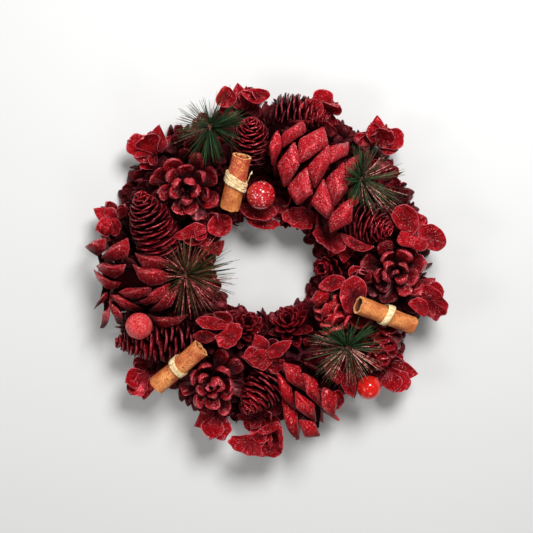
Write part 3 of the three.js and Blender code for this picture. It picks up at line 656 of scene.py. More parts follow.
# Bark with pits, red sprayed paint where it is frosted, and a painted shade, dark, on the inner faces of the
# roll, which its rim mark holds
def barkFinish():
    f = Finish("cinnamon bark", 0.6)
    grain = f.noise(90, 5)
    fine = f.noise(650, 4)
    base = f.blend(f.range(grain, 0.32, 0.68), linear("#A84C1C"), linear("#EC9A52"))
    base = f.blend(f.range(fine, 0.46, 0.68, 0.0, 0.7), base, linear("#843C14"))
    pits = f.cells(420)
    chosen = f.combine("GREATER_THAN", f.combine("ADD", pits["pick"], f.mark("shade")), 1.5)
    spots = f.times(chosen, f.range(pits["distance"], 0.42, 0.2))
    base = f.blend(f.times(spots, 0.9), base, linear("#6A2C10"))
    reds = f.times(f.mark("frost"), f.range(f.cells(950)["pick"], 0.3, 0.5))
    base = f.blend(f.times(reds, 0.9), base, linear("#A81C24"))
    f.colour(f.blend(f.mark("rim"), base, linear("#3A1606")), linear("#C47A40"))
    f.bump([(grain, 0.4, 0.0012), (fine, 0.45, 0.0005), (f.combine("SUBTRACT", 1.0, spots), 0.6, 0.0006)])
    return f.material


# Dry fibre: two tones mixed by a raised grain, darker where it is frosted
def fibre(name, s):
    f = Finish(name, s["rough"])
    grain = f.noise(s["scale"], s["detail"])
    base = f.blend(f.range(grain, *s["band"]), linear(s["dark"]), linear(s["pale"]))
    if "stain" in s:
        base = f.blend(f.times(f.mark("frost"), 0.8), base, linear(s["stain"]))
    f.colour(base, linear(s["usual"]))
    f.bump([(grain, *s["relief"])])
    return f.material


bark = barkFinish()
cut = fibre("cut bark edge", {
    "scale": 700, "detail": 4, "band": (0.35, 0.65), "dark": "#C8783A", "pale": "#FFC488", "usual": "#E8A468",
    "rough": 0.7, "relief": (0.5, 0.0005)})
raffia = fibre("raffia", {
    "scale": 420, "detail": 4, "band": (0.3, 0.7), "dark": "#CFA868", "pale": "#FFEBC0", "usual": "#DCC88E",
    "stain": "#7A4A2A", "rough": 0.7, "relief": (0.5, 0.0006)})
vine = fibre("vine", {
    "scale": 300, "detail": 5, "band": (0.3, 0.7), "dark": "#20120C", "pale": "#5A3A26", "usual": "#4A2F22",
    "rough": 0.8, "relief": (0.6, 0.001)})
twig = fibre("twig", {
    "scale": 600, "detail": 3, "band": (0.35, 0.65), "dark": "#2A1008", "pale": "#7A3626", "usual": "#4A2014",
    "rough": 0.7, "relief": (0.5, 0.0005)})
print("finishes mixed")

# Base ring: vine strands that wind round it, pressed flat at the back

ringShape = {
    "radius": 99, "halfWidth": 26, "height": 13.5, "strands": 34, "thick": 2.6, "twist": 5, "steps": 110,
    "pad": (90, 9), "padWider": 1, "padFoot": 0.2,  # what the strands lie on: steps round it and over it
}


def buildRing(s):
    rng = np.random.default_rng(3)
    heap = Heap()
    around = np.linspace(0, 2 * math.pi, s["steps"] + 1)
    for strand in range(s["strands"]):
        start = strand / s["strands"] * math.pi * 2
        drift = 0.05 * np.sin(around * rng.integers(2, 6) + rng.uniform(0, 6))
        angle = start + s["twist"] * around + drift
        out = s["radius"] + s["halfWidth"] * np.cos(angle)
        up = np.maximum(s["thick"], s["height"] * np.sin(angle) + rng.uniform(-0.6, 0.4))
        path = np.stack([out * np.cos(around), out * np.sin(around), up], 1)
        addTube(heap, path, s["thick"] * (0.9 + 0.12 * np.sin(7 * around + start)))
    steps, sides = s["pad"]
    section = np.linspace(0, math.pi, sides)
    out = s["radius"] + (s["halfWidth"] + s["padWider"]) * np.cos(section)
    up = s["padFoot"] + s["height"] * np.sin(section)
    turns = np.linspace(0, 2 * math.pi, steps, endpoint=False)
    rings = np.array([np.stack([out * np.cos(turn), out * np.sin(turn), up], 1) for turn in turns])
    index = np.arange(steps * sides).reshape(steps, sides)
    nextRow = np.roll(index, -1, axis=0)
    corners = [index, nextRow, np.roll(nextRow, -1, axis=1), np.roll(index, -1, axis=1)]
    heap.add(rings.reshape(-1, 3), np.stack(corners, -1).reshape(-1, 4), shade=0.3)
    heap.piece("vine_ring", ["ring_base"], "vine", [vine])


buildRing(ringShape)
print("ring wound")

# Bed: dark scales and leaf bits that cover the ring and fill every gap

bedShape = {
    "radius": 99, "halfWidth": 44, "height": 25, "leaves": 520,
    "core": 0.78, "coreSteps": (26, 20), "coreFoot": 1.2, "apart": 0.002,  # the loft that the leaves stand on
}
bedLeaves = {
    "scale": {"length": 15, "width": 10, "thick": 1.4, "neck": 0.4, "wide": 0.55, "blunt": 1.6, "point": 0.7,
              "curl": -0.3, "cup": 1.0, "ridge": 0.8},
    "petal": {"length": 14, "width": 13, "thick": 1.2, "wide": 0.6, "curl": 0.5, "cup": 2.0, "wave": 0.8},
    "sliver": {"length": 20, "width": 5, "thick": 1.3, "neck": 0.6, "wide": 0.4, "blunt": 1.2, "point": 0.9,
               "curl": 0.3, "cup": 0.6},
}


# A point of the bed and the way that it faces there
def onBed(s, around, section, size):
    out = s["radius"] + s["halfWidth"] * size * math.cos(section)
    up = s["height"] * size * math.sin(section)
    point = np.array([out * math.cos(around), out * math.sin(around), max(up, 1.5)])
    level, rising = math.cos(section) / s["halfWidth"], math.sin(section) / s["height"]
    return point, unit(np.array([level * math.cos(around), level * math.sin(around), rising]))


def addBedCore(heap, s, first):
    steps, sides = s["coreSteps"]
    rings = []
    for turn in np.linspace(first + s["apart"], first + math.pi / 2 - s["apart"], steps):
        row = []
        for section in roundAngles(sides):
            size = s["core"] * (1 + 0.05 * math.sin(9 * turn + 4 * section))
            out = s["radius"] + s["halfWidth"] * size * math.cos(section)
            high = 1 if section < math.pi else 0.2  # flatter underneath
            up = max(s["coreFoot"], s["height"] * size * math.sin(section) * high + 3)
            row.append((out * math.cos(turn), out * math.sin(turn), up))
        rings.append(row[::-1])
    addLoft(heap, rings, shade=0.3)


def addLeaf(heap, s, around, rng):
    section = rng.uniform(-0.02, 1.02) * math.pi
    point, normal = onBed(s, around, section, rng.uniform(0.78, 0.95))
    tangent = np.array([-math.sin(around), math.cos(around), 0])
    flat = unit(np.cross(normal, tangent)) * (1 if section < math.pi / 2 else -1)
    flat = flat if flat[2] < 0.2 else -flat
    way = flat * rng.uniform(0.2, 1.0) + tangent * rng.uniform(-0.8, 0.8) + normal * rng.uniform(0.25, 0.9)
    way = unit(way)
    sort = rng.uniform() * (1.0 if 0.6 < section < 2.54 else 0.85)  # no slivers low on the slopes
    kind = "scale" if sort < 0.55 else "petal" if sort < 0.85 else "sliver"
    size = rng.uniform(0.75, 1.25)
    shape = dict(bedLeaves[kind], steps=(6, 4))
    shape["length"] *= size
    shape["width"] *= size
    way[2] = max(way[2], (5 - point[2]) / shape["length"])
    turn = facing(way, normal + 0.3 * tangent * rng.uniform(-1, 1))
    # Painted shade: leaves lower on the bed are darker
    light = rng.uniform(0.4, 1.0) * (0.6 + 0.4 * point[2] / s["height"])
    addScale(heap, point, turn, shape, rng, light)


def buildBed(name, quarter, s):
    rng = np.random.default_rng(40 + quarter)
    heap = Heap()
    first = quarter * math.pi / 2
    addBedCore(heap, s, first)
    for leaf in range(s["leaves"]):
        around = first + (leaf + rng.uniform(0, 1)) / s["leaves"] * math.pi / 2
        addLeaf(heap, s, around, rng)
    heap.piece("scales_" + name, ["scale_bed_" + name], "dark_cone", [paint["dark"]])


for quarter, name in enumerate(("upper_right", "upper_left", "lower_left", "lower_right")):
    buildBed(name, quarter, bedShape)
print("bed laid")

# Cones

coreSides = 12


# The axis of a cone and two directions across it; for an upright one the first of these is +X
def axesAlong(axis):
    side = unit(np.cross(axis, (0, 0, 1))) if abs(axis[2]) < 0.99 else np.array([1.0, 0, 0])
    return axis, side, np.cross(axis, side)


def coneAxes(turn, rise):
    return axesAlong(direction(math.radians(turn), math.radians(rise)))


# The bare middle of a cone, from its heights along the axis and its radii, in the near-black core finish, a
# painted shade
def addCore(heap, base, axes, profile, shade):
    angles = roundAngles(coreSides)[:, None]
    circle = np.cos(angles) * axes[1] + np.sin(angles) * axes[2]
    rings = [base + axes[0] * height + radius * circle for height, radius in profile]
    addLoft(heap, rings, shade=shade, finish=1)


# A scale on a cone, by how far up the axis, which way round and how far it leans from the axis
def coneScale(heap, base, axes, height, around, root, leanOut, shape, rng, shade, twist=0.0):
    axis, side, other = axes
    radial = side * math.cos(around) + other * math.sin(around)
    along = axis * math.cos(leanOut) + radial * math.sin(leanOut)
    up = axis * math.sin(leanOut) - radial * math.cos(leanOut)
    turn = facing(along, up)
    turn = turned(twist, turn[:, 0]) @ turn
    addScale(heap, base + axis * height + radial * root, turn, shape, rng, shade)


# Open scales near black at the root and the sides, with a pale front rim: painted shade in each hollow and a
# painted highlight on the lip
openShape = {
    "steps": (14, 14), "neck": 0.2, "wide": 0.74, "blunt": 2.6, "crowd": 1.5, "streaks": 0.5, "cup": 4.2,
    "rough": 0.6, "scallop": 0.05, "rimFrom": 0.42, "heavy": 1.9, "rootShade": 0.0, "fade": 5.5,
    "frontRim": True, "sideShade": 0.3,
}
openLoose = {
    # how far each scale may stray; the others are shares of its own measure
    "around": (-0.18, 0.18), "lean": (-8, 8), "reach": (0.9, 1.04), "width": (0.84, 1.1), "cup": (0.5, 1.4),
    "lip": (0.4, 2.0), "curl": (-0.35, 0.45), "wave": (0.5, 1.7), "lobes": (4, 8), "height": (-2.2, 2.2),
    "light": (0.5, 1.25), "twist": (-0.4, 0.4),
}
openRows = {
    "root": 3.4, "rootLess": 0.8,  # how far from the axis a scale starts, and how much nearer in each row
    "outer": 3, "thick": 3.2, "innerThick": 1.8,  # how many rows have thick scales with a lip
    "longest": 30, "usualWidth": 17,
}
openCones = {
    # rings: how many scales, lean from the axis, how far out, width, height of the root
    "upper_left": {"at": (184, 191), "z": 27, "turn": 215, "rise": 86, "length": 28, "seed": 5, "rings": [
        (8, 84, 34.0, 18.0, 2), (7, 66, 26.0, 15.0, 7), (5, 50, 16.0, 12.5, 12), (2, 16, 3.0, 5.0, 14)]},
    "right": {"at": (397, 273), "z": 27, "turn": 60, "rise": 84, "length": 27, "seed": 9, "rings": [
        (7, 84, 32.0, 18.0, 2), (6, 64, 24.0, 15.5, 7), (4, 46, 14.5, 12.5, 12), (2, 16, 3.0, 5.0, 14)]},
    "lower_left": {"at": (211, 388), "z": 28, "turn": 260, "rise": 84, "length": 28, "seed": 14, "rings": [
        (8, 84, 33.0, 15.5, 2), (7, 66, 25.0, 14.0, 8), (5, 46, 15.0, 12.0, 13), (2, 20, 5.0, 8.0, 18)]},
}


def buildOpenCone(name, s):
    rng = np.random.default_rng(s["seed"])
    heap = Heap()
    loose = openLoose
    axes = coneAxes(s["turn"], s["rise"])
    length = s["length"]
    base = spot(*s["at"], s["z"] + length) - axes[0] * length
    profile = [(0, 2), (2, 7), (0.4 * length, 5), (0.6 * length, 3), (0.72 * length, 1)]
    addCore(heap, base, axes, profile, 0.05)
    for row, (count, lean, out, width, height) in enumerate(s["rings"]):
        start = rng.uniform(0, 6.28)
        root = openRows["root"] - openRows["rootLess"] * row
        outer = row < openRows["outer"]
        for k in range(count):
            around = start + (k + rng.uniform(*loose["around"])) / count * 2 * math.pi
            leanOut = math.radians(lean + rng.uniform(*loose["lean"]))
            reach = (out * rng.uniform(*loose["reach"]) - root) / math.sin(max(leanOut, 0.4))
            wide = width * rng.uniform(*loose["width"])
            shape = dict(openShape, length=min(reach, openRows["longest"]), width=wide)
            shape["thick"] = openRows["thick"] if outer else openRows["innerThick"]
            shape["cup"] = openShape["cup"] * width / openRows["usualWidth"] * rng.uniform(*loose["cup"])
            shape["lip"] = rng.uniform(*loose["lip"]) * outer
            shape["curl"] = rng.uniform(*loose["curl"])
            shape["wave"] = rng.uniform(*loose["wave"])
            shape["lobes"] = rng.integers(*loose["lobes"])
            high = height + rng.uniform(*loose["height"])
            coneScale(heap, base, axes, high, around, root, leanOut, shape, rng, rng.uniform(*loose["light"]),
                      twist=rng.uniform(*loose["twist"]))
    heap.piece("open_cone_" + name, ["cone_open_" + name], "open_cone", [paint["open"], paint["core"]])


for name, s in openCones.items():
    buildOpenCone(name, s)
print("open cones made")

# Long cones: stacked scales with thin edges, and one with plump scales

# Long scales near black at the root and the sides, a painted shade between the rims
longShape = {
    "steps": (8, 13), "thick": 1.35, "neck": 0.62, "wide": 0.8, "blunt": 2.6, "cup": 1.3, "crowd": 1.9,
    "curl": 0.12, "rough": 0.12, "rimFrom": 0.58, "rootShade": 0.0, "fade": 3.8, "frontRim": True,
    "heavy": 1.15, "sideShade": 0.5,
}
plumpShape = {
    "steps": (9, 11), "thick": 3.6, "neck": 0.5, "wide": 0.58, "blunt": 1.9, "point": 0.6, "cup": -3.0,
    "crowd": 1.5, "curl": 0.3, "rough": 0.12, "rimFrom": 0.72, "rootShade": 0.1, "heavy": 1.2, "fade": 1.3,
    "frontRim": True, "belly": 0.6,
}
longCones = {
    # gap is how far apart the scale rims stand, span how wide a scale is beside the cone; dim, painted light,
    # darkens or lightens the whole cone
    "top": {"base": (-12, 98, 22), "turn": 90, "rise": 42, "length": 52, "radius": 19, "gap": 5.0,
        "span": 0.95, "lean": 0.92, "seed": 1},
    "top_right": {"base": (8, 142, 30), "turn": -8, "rise": 2, "length": 52, "radius": 18, "gap": 5.0,
        "span": 1.0, "lean": 1.0, "seed": 2, "dim": 0.9},
    "left_upper": {"base": (-92, 13, 27), "turn": 108, "rise": 24, "length": 68, "radius": 21, "gap": 5.2,
        "span": 1.05, "lean": 1.0, "seed": 3},
    "right_upper": {"base": (76, 46, 26), "turn": -14, "rise": 34, "length": 46, "radius": 20, "gap": 4.8,
        "span": 1.0, "lean": 0.98, "seed": 4},
    "left_lower": {"base": (-64, -67, 33), "turn": 180, "rise": 4, "length": 74, "radius": 19, "gap": 6.2,
        "span": 1.08, "lean": 1.0, "seed": 5, "stout": 1.5},
    "bottom": {"base": (12, -95, 27), "turn": 228, "rise": 26, "length": 52, "radius": 19, "gap": 5.4,
        "span": 1.05, "lean": 0.98, "seed": 6, "stout": 1.3},
    "lower_right": {"base": (110, -44, 27), "turn": 262, "rise": 14, "length": 52, "radius": 18, "gap": 6.6,
        "span": 1.1, "lean": 0.66, "seed": 7, "dim": 1.35, "scale": plumpShape},
}
longGrowth = {
    "steps": 240, "from": 0.2, "crowd": 0.9, "full": 0.65,  # how the cone swells and tapers
    "core": (6, 50, 100, 150, 200, 225), "coreRadius": 0.42, "coreTip": 0.97,
    "tipScale": 0.34, "tipLean": 0.62, "reach": 0.68, "deepest": 0.9,  # its scales, as shares
}


# Scales stand evenly over the cone, each a golden angle on from the last, and shrink to a rosette at the tip
def buildLongCone(name, s):
    rng = np.random.default_rng(100 + s["seed"])
    heap = Heap()
    axes = coneAxes(s["turn"], s["rise"])
    base = np.array(s["base"], float)
    scale = s.get("scale", longShape)
    g = longGrowth
    share = np.linspace(0, 1, g["steps"] + 1)
    radii = s["radius"] * np.sin(math.pi * mix(g["from"], 1.0, share ** g["crowd"])) ** g["full"]
    radii[-1] = 0
    heights = share * s["length"]
    sizes = mix(g["tipScale"], 1.0, np.clip(radii / s["radius"] * 1.08, 0, 1))
    run = np.hypot(np.diff(radii), np.diff(heights))
    room = s["gap"] * s["span"] * s["radius"] * sizes[1:] ** 2
    number = np.concatenate([[0], np.cumsum(math.pi * (radii[1:] + radii[:-1]) * run / room)])
    slope = np.arctan2(np.gradient(heights), -np.gradient(radii))
    profile = [(heights[k], g["coreRadius"] * radii[k]) for k in g["core"]]
    addCore(heap, base, axes, [(0, 1), *profile, (g["coreTip"] * s["length"], 0.5)], 0.0)
    for k in range(int(number[-1])):
        here = np.interp(k + 0.5, number, share)
        lines = (heights, radii, sizes, slope)
        height, radius, size, normal = (np.interp(here, share, line) for line in lines)
        leaning = mix(g["tipLean"], s["lean"], np.clip(normal / 1.57, 0, 1) ** 2)
        leanOut = np.clip(normal * leaning + rng.uniform(-0.06, 0.06), 0.05, 1.7)
        reach = min(g["reach"] * s["radius"] * size, g["deepest"] * radius / math.sin(leanOut))
        reach = reach * rng.uniform(0.94, 1.06)
        out = radius * rng.uniform(0.96, 1.03) - reach * math.sin(leanOut)
        around = k * goldenAngle + rng.uniform(-0.08, 0.08)
        shape = dict(scale, length=reach, width=s["span"] * s["radius"] * size * rng.uniform(0.92, 1.1))
        shape["thick"] = scale["thick"] * mix(0.45, 1.0, size) * s.get("stout", 1.0)
        shape["cup"] = scale["cup"] * size
        # Painted light: scales lighten towards the tip, and dim darkens or lightens the whole cone
        light = rng.uniform(0.5, 1.2) * mix(0.6, 1.5, here ** 1.6) * s.get("dim", 1.0)
        coneScale(heap, base, axes, height - reach * math.cos(leanOut), around, out, leanOut, shape, rng,
                  light, twist=rng.uniform(-0.1, 0.1))
    heap.piece("long_cone_" + name, ["cone_long_" + name], "long_cone", [paint["long"], paint["core"]])


for name, s in longCones.items():
    buildLongCone(name, s)
print("long cones made")

# Broad cones: thick creased scales laid where they show, with more of them round the hidden sides

# Slabs: a lit middle and a darkening towards the bottom right, painted light
slabShape = {
    "crisp": 0.32, "thick": 5.0, "power": 7, "dome": 2.6, "ridge": 2.0, "rough": 0.7, "rimFrom": 0.9,
    "heart": 1.3, "rings": 13, "around": 48, "crowd": 1.7, "fall": 0.8, "wave": 0.6, "ruffles": 4,
    "spread": 1.08,
}
broadCones = {
    # the axis runs between two places in the picture at height z; the core has a share of its length,
    # millimetres more and a radius; hidden scales are buried and darkened as painted shade, or left out,
    # where they face above a limit
    "upper_right": {
        "from": (276, 128), "to": (348, 224), "z": 38, "radius": 27, "rise": 0.5, "seed": 21, "bright": 1.0,
        "coat": "broad", "core": [(0, -4, 4), (0, 2, 14), (0.4, -4, 19), (0.8, -4, 15), (1, -2, 3)],
        "hidden": {
            "rows": 5, "round": 8, "upTo": 0.7, "lean": (48, 34), "root": 9, "limit": 0.25,
            "buried": (4, 0.2), "length": (27, 27), "width": (22, 22), "light": (0.6, 0.9)},
        "scale": {
            "thick": 4.0, "neck": 0.35, "wide": 0.5, "blunt": 1.3, "point": 0.8, "cup": -2, "ridge": 1.0,
            "curl": -0.2, "rootShade": 0.4},
        "slabs": [
            [(273, 166), (269.5, 147), (277.5, 130.5), (283, 144)],
            [(283, 147.5), (282.5, 134), (303, 121.5), (306, 131)],
            [(300, 163.5), (299, 140.5), (322.5, 127), (328, 144)],
            [(285, 187.5), (277.5, 165), (294.5, 142), (300.5, 163)],
            [(315, 189), (308, 166), (328.5, 145), (330.5, 161.5)],
            [(330.5, 163), (328.7, 147), (348, 143), (347.5, 155)],
            [(298, 205), (287, 188), (307.5, 166.5), (312.5, 193)],
            [(334, 206.5), (326, 180), (343.5, 162.5), (348, 188)],
            [(348.5, 185), (344.5, 163), (358.5, 154.5), (360.5, 170)],
            [(327.5, 219), (311, 203.5), (323.5, 178.5), (334, 206.5)],
            [(331, 232.5), (328.5, 216.5), (353, 196.5), (351, 222)],
            [(347, 209), (349, 190), (362, 185), (358, 204)],
        ],
    },
    "lower_right": {
        "from": (292, 364), "to": (318, 428), "z": 33, "radius": 23, "rise": 0.42, "riseWay": 213, "seed": 22,
        "bright": 0.9, "coat": "satin",
        "core": [(0, -3, 2), (0, 2, 10), (0.35, 0, 13), (0.8, 0, 8), (1, 0, 1)],
        "hidden": {
            "rows": 3, "round": 7, "upTo": 0.6, "lean": (38, 24), "root": 7, "limit": 0.35,
            "length": (34, 34), "width": (15, 15), "light": (0.5, 0.85)},
        "scale": {
            "steps": (8, 6), "thick": 3.4, "neck": 0.4, "wide": 0.4, "blunt": 1.1, "point": 0.9, "cup": -1.5,
            "ridge": 1.2, "curl": -0.15, "rootShade": 0.4},
        "slabs": [
            [(283.5, 363), (299.5, 366.5), (306.5, 392), (287.5, 380.5)],
            [(303, 373.5), (315, 379), (321.5, 408), (306, 392)],
            [(323, 387.5), (339, 395.5), (333, 417), (322, 405)],
            [(276.5, 372), (290.5, 385), (296, 410), (281.5, 396.5)],
            [(295.5, 391), (313.5, 403.5), (316, 422), (296, 408)],
            [(281.5, 398.5), (297, 412.5), (299, 440), (287.5, 428.5)],
            [(299, 420), (314, 421.5), (320, 436), (305, 437)],
        ],
    },
}


# Where the axis starts, how long it is, and the directions along and across it
def coneLine(s):
    start, finish = spot(*s["from"], s["z"]), spot(*s["to"], s["z"])
    return start, np.linalg.norm(finish - start), axesAlong(unit(finish - start))


# The height and the slopes of the plane on top of a cone, below a place in the picture
def overCone(s, start, axes, px, py):
    axis, side = axes[:2]
    limit = 0.9 * s["radius"]
    level = spot(px, py, s["z"] + 0.75 * s["radius"])
    off = np.clip(np.dot(level - start, side), -limit, limit)
    high = math.sqrt(s["radius"] ** 2 - off ** 2)
    way = math.radians(s["riseWay"]) if "riseWay" in s else math.atan2(axis[1], axis[0])
    rising = np.array([math.cos(way), math.sin(way)]) * s["rise"]
    return s["z"] + high, side[:2] * (-0.55 * off / high) + rising


# Rows of scales round the hidden sides of a broad cone; buried ones are darkened, a painted shade
def addHidden(heap, base, axes, length, s, scale, rng):
    for row in range(s["rows"]):
        share = row / (s["rows"] - 1)
        shape = dict(scale, length=mix(*s["length"], share), width=mix(*s["width"], share))
        leanOut = math.radians(mix(*s["lean"], share))
        for k in range(s["round"]):
            around = (k + 0.5 * (row % 2)) / s["round"] * 2 * math.pi
            radial = axes[1] * math.cos(around) + axes[2] * math.sin(around)
            shown = radial[2] < s["limit"]
            if shown or "buried" in s:
                root, dim = (s["root"], 1) if shown else s["buried"]
                height = share * s["upTo"] * length
                light = rng.uniform(*s["light"]) * dim
                coneScale(heap, base, axes, height, around, root, leanOut, shape, rng, light)


def broadPiece(heap, name, coat):
    heap.piece("broad_cone_" + name, ["cone_broad_" + name], "broad_cone", [paint[coat], paint["core"]])


def buildBroadCone(name, s):
    rng = np.random.default_rng(s["seed"])
    heap = Heap()
    start, length, axes = coneLine(s)
    for outline in s["slabs"]:
        top, slopes = overCone(s, start, axes, *np.mean(outline, 0))
        crest, ridge = rng.uniform(-0.3, 0.3), slabShape["ridge"] * rng.uniform(0.2, 1.8)
        shape = dict(slabShape, crest=crest, ridge=ridge)
        addPlate(heap, outline, top, slopes, shape, rng, rng.uniform(0.6, 0.85) * s["bright"])
    addCore(heap, start, axes, [(share * length + more, radius) for share, more, radius in s["core"]], 0.2)
    addHidden(heap, start, axes, length, s["hidden"], s["scale"], rng)
    broadPiece(heap, name, s["coat"])


# Painted light: a highlight along the crest, and darker towards the bottom, lighter towards the top
leftScale = {
    "thick": 3.0, "power": 5, "dome": 0.6, "ridge": 8.5, "rough": 0.5, "rimFrom": 0.84, "heart": 0.8,
    "rings": 14, "around": 48, "wave": 0.7, "crisp": 0.2, "fall": 1.5, "fallWay": (0.1, -1.0), "sag": -2.5,
    "spread": 1.04, "weave": 0.07, "crestHighlight": 0.6,
}
leftCone = {
    "base": (-76, -9, 38), "tip": (-146, -10, 40),
    "core": [(0, -2, 3), (0, 3, 11), (0.4, 0, 13), (0.8, 0, 9), (1, 0, 1)],
    "hidden": {
        "rows": 4, "round": 8, "upTo": 0.75, "lean": (52, 35), "root": 6, "limit": -0.1,
        "length": (27, 27), "width": (18, 18), "light": (0.3, 0.6)},
    "scale": {
        "thick": 3.2, "wide": 0.5, "blunt": 1.4, "point": 0.8, "cup": -2.4, "ridge": 2.0, "curl": -0.2,
        "rootShade": 0.4},
    # outline in the picture, height, how its plane slopes right and up
    "slabs": [
        ([(83, 246.5), (94, 240), (105, 238.5), (105, 250), (97, 256)], 47, (0.2, -0.2)),
        ([(99, 258), (112, 246), (127, 237.5), (129, 247), (127, 257), (113, 261)], 50, (0.1, -0.2)),
        ([(133.5, 252.5), (145, 256), (157, 256), (175, 264), (160, 269), (143, 268)], 52, (0.1, -0.2)),
        ([(132, 264), (142, 268), (156, 268), (173, 275.5), (162, 284), (149, 286), (139, 279)], 53,
         (0.1, -0.2)),
        ([(94.5, 265.5), (102, 262.5), (112, 265), (125, 264), (122, 273), (114.5, 278.5), (102, 273)], 49,
         (0.1, -0.25)),
        ([(92.5, 269), (99, 273), (111, 281), (127, 283), (117, 288), (107, 289), (97, 280)], 47,
         (0.1, -0.2)),
        ([(118, 292), (127, 288), (138, 288), (153.5, 286), (148, 295), (137, 299), (125, 297)], 53,
         (0.0, -0.2)),
        ([(133, 303), (145, 300), (153, 290), (169.5, 282.5), (166, 292), (157, 302), (146, 305)], 53,
         (0.2, -0.15)),
        ([(147, 311), (157, 306), (166, 293), (180, 281.5), (178, 292), (171, 306), (160, 311)], 52,
         (0.3, -0.15)),
        ([(110.5, 295.5), (119, 295), (132, 303), (144.5, 309), (134, 311), (121, 307)], 49, (-0.1, -0.2)),
        ([(109, 290), (106.5, 299), (95, 308), (98, 301), (103, 294)], 46, (-0.3, -0.4)),
        ([(110, 301), (109, 315), (105, 328), (101.5, 328), (102.5, 314)], 43, (-0.5, -0.2)),
        ([(109.5, 301), (117, 307), (123, 317), (125, 326), (117, 323), (112, 312)], 45, (-0.4, -0.2)),
        ([(147.5, 313.5), (156, 317), (172, 317), (188, 314.5), (178, 324), (161, 329.5), (154, 322)], 46,
         (0.0, -0.15)),
    ],
}


def buildLeftCone(s):
    rng = np.random.default_rng(23)
    heap = Heap()
    base, tip = np.array(s["base"], float), np.array(s["tip"], float)
    length = np.linalg.norm(tip - base)
    axes = axesAlong(unit(tip - base))
    addCore(heap, base, axes, [(share * length + more, radius) for share, more, radius in s["core"]], 0.15)
    for outline, z, slopes in s["slabs"]:
        crest, ridge = rng.uniform(0.08, 0.22), leftScale["ridge"] * rng.uniform(0.8, 1.15)
        shape = dict(leftScale, crest=crest, ridge=ridge)
        centre = addPlate(heap, outline, z, slopes, shape, rng, rng.uniform(0.5, 0.76))
        along = np.clip(np.dot(centre - base, axes[0]), 4, length - 4)
        addTube(heap, [base + axes[0] * along, centre - (0, 0, 1.5)], [3.0, 2.0], shade=0.1, finish=1)
    addHidden(heap, base, axes, length, s["hidden"], s["scale"], rng)
    broadPiece(heap, "left", "creased")


innerCone = {
    "at": (336, 316), "z": 36, "turn": 128, "rise": 4,
    "hidden": {
        "rows": 4, "round": 6, "upTo": 1.0, "lean": (52, 32), "root": 5, "limit": 2.0,
        "length": (18, 13), "width": (15, 11), "light": (0.6, 0.95)},
    "scale": {
        "thick": 3.6, "neck": 0.5, "wide": 0.6, "blunt": 1.8, "point": 0.6, "cup": -2.2, "ridge": 0.6,
        "curl": -0.3, "rootShade": 0.45},
    "slabs": [
        ([(311.5, 300), (317, 290.5), (330, 292), (328.5, 300), (318, 306.5)], 47),
        ([(320.5, 313), (324, 305.5), (335, 298.5), (338.5, 305), (331, 312.5), (326, 317)], 49),
        ([(324, 321), (331.5, 313), (343, 311), (345.5, 318), (333, 324)], 47),
        ([(334, 330), (343, 322), (352, 322.5), (347, 330)], 45),
    ],
}


def buildInnerCone(s):
    rng = np.random.default_rng(24)
    heap = Heap()
    axes = coneAxes(s["turn"], s["rise"])
    base = spot(*s["at"], s["z"]) - axes[0] * 12
    addCore(heap, base, axes, [(0, 2), (3, 8), (16, 9), (28, 6), (34, 1)], 0.2)
    addHidden(heap, base, axes, 20, s["hidden"], s["scale"], rng)
    for outline, z in s["slabs"]:
        addPlate(heap, outline, z, (-0.2, -0.4), dict(slabShape, power=5), rng, rng.uniform(0.4, 0.6))
    broadPiece(heap, "inner_right", "satin")


for name, s in broadCones.items():
    buildBroadCone(name, s)
buildLeftCone(leftCone)
buildInnerCone(innerCone)
print("broad cones made")

# Dried petals, thin with ruffled rims that are pale, partly as a painted highlight

petalShape = {
    "steps": (14, 12), "thick": 1.0, "neck": 0.22, "wide": 0.6, "blunt": 2.1, "point": 0.52, "cup": 1.8,
    "crowd": 1.3, "curl": 0.3, "rough": 0.5, "wave": 0.9, "scallop": 0.045, "rimFrom": 0.93, "rootShade": 0.3,
}
petalKinds = {
    "round": {},
    "pointed": {
        "neck": 0.5, "wide": 0.38, "blunt": 1.2, "point": 0.85, "cup": 2.4, "curl": -0.2, "wave": 1.1},
    "scalloped": {"neck": 0.3, "cup": 1.4, "wave": 1.5, "ruffles": 6, "scallop": 0.07, "lobes": 11},
    "rolled": {"cup": 3.0, "curl": 1.1, "lip": 0.8, "wave": 1.2},
}
# Plates: a darker middle and a darkening towards the bottom right, painted shade
plateShape = {
    "thick": 1.1, "power": 8, "cup": 2.4, "rough": 0.8, "wave": 1.3, "heart": 0.3, "rimFrom": 0.92,
    "rings": 12, "around": 56, "fold": 2.2, "veins": 0.22, "fall": 0.35, "scallop": 0.015, "lobes": 7,
}
plateKinds = {
    "round": {},
    "pointed": {"crisp": 0.25, "wave": 0.8, "sag": -1.6, "fold": 3.0},
    "scalloped": {"ruffles": 6, "scallop": 0.045, "lobes": 9, "veins": 0.5},
    "trough": {"fold": 7.0, "cup": 0.4, "wave": 0.3, "heart": 0.15},
    "bar": {"thick": 2.6, "dome": 1.0, "cup": -0.6, "wave": 0.2, "heart": 1.0},
    "ruffled": {"wave": 2.0, "ruffles": 5, "scallop": 0.06, "lobes": 6, "cup": 2.6},
    "wall": {"fold": -3.0, "cup": 0.2, "wave": 0.3, "heart": 0.6},
    # under: a dark plate laid below the bottom cluster where there is only shade, a painted shade
    "under": {"cup": 0.6, "wave": 0.6, "heart": 0.05, "fall": 0.0, "rimFrom": 0.97},
}
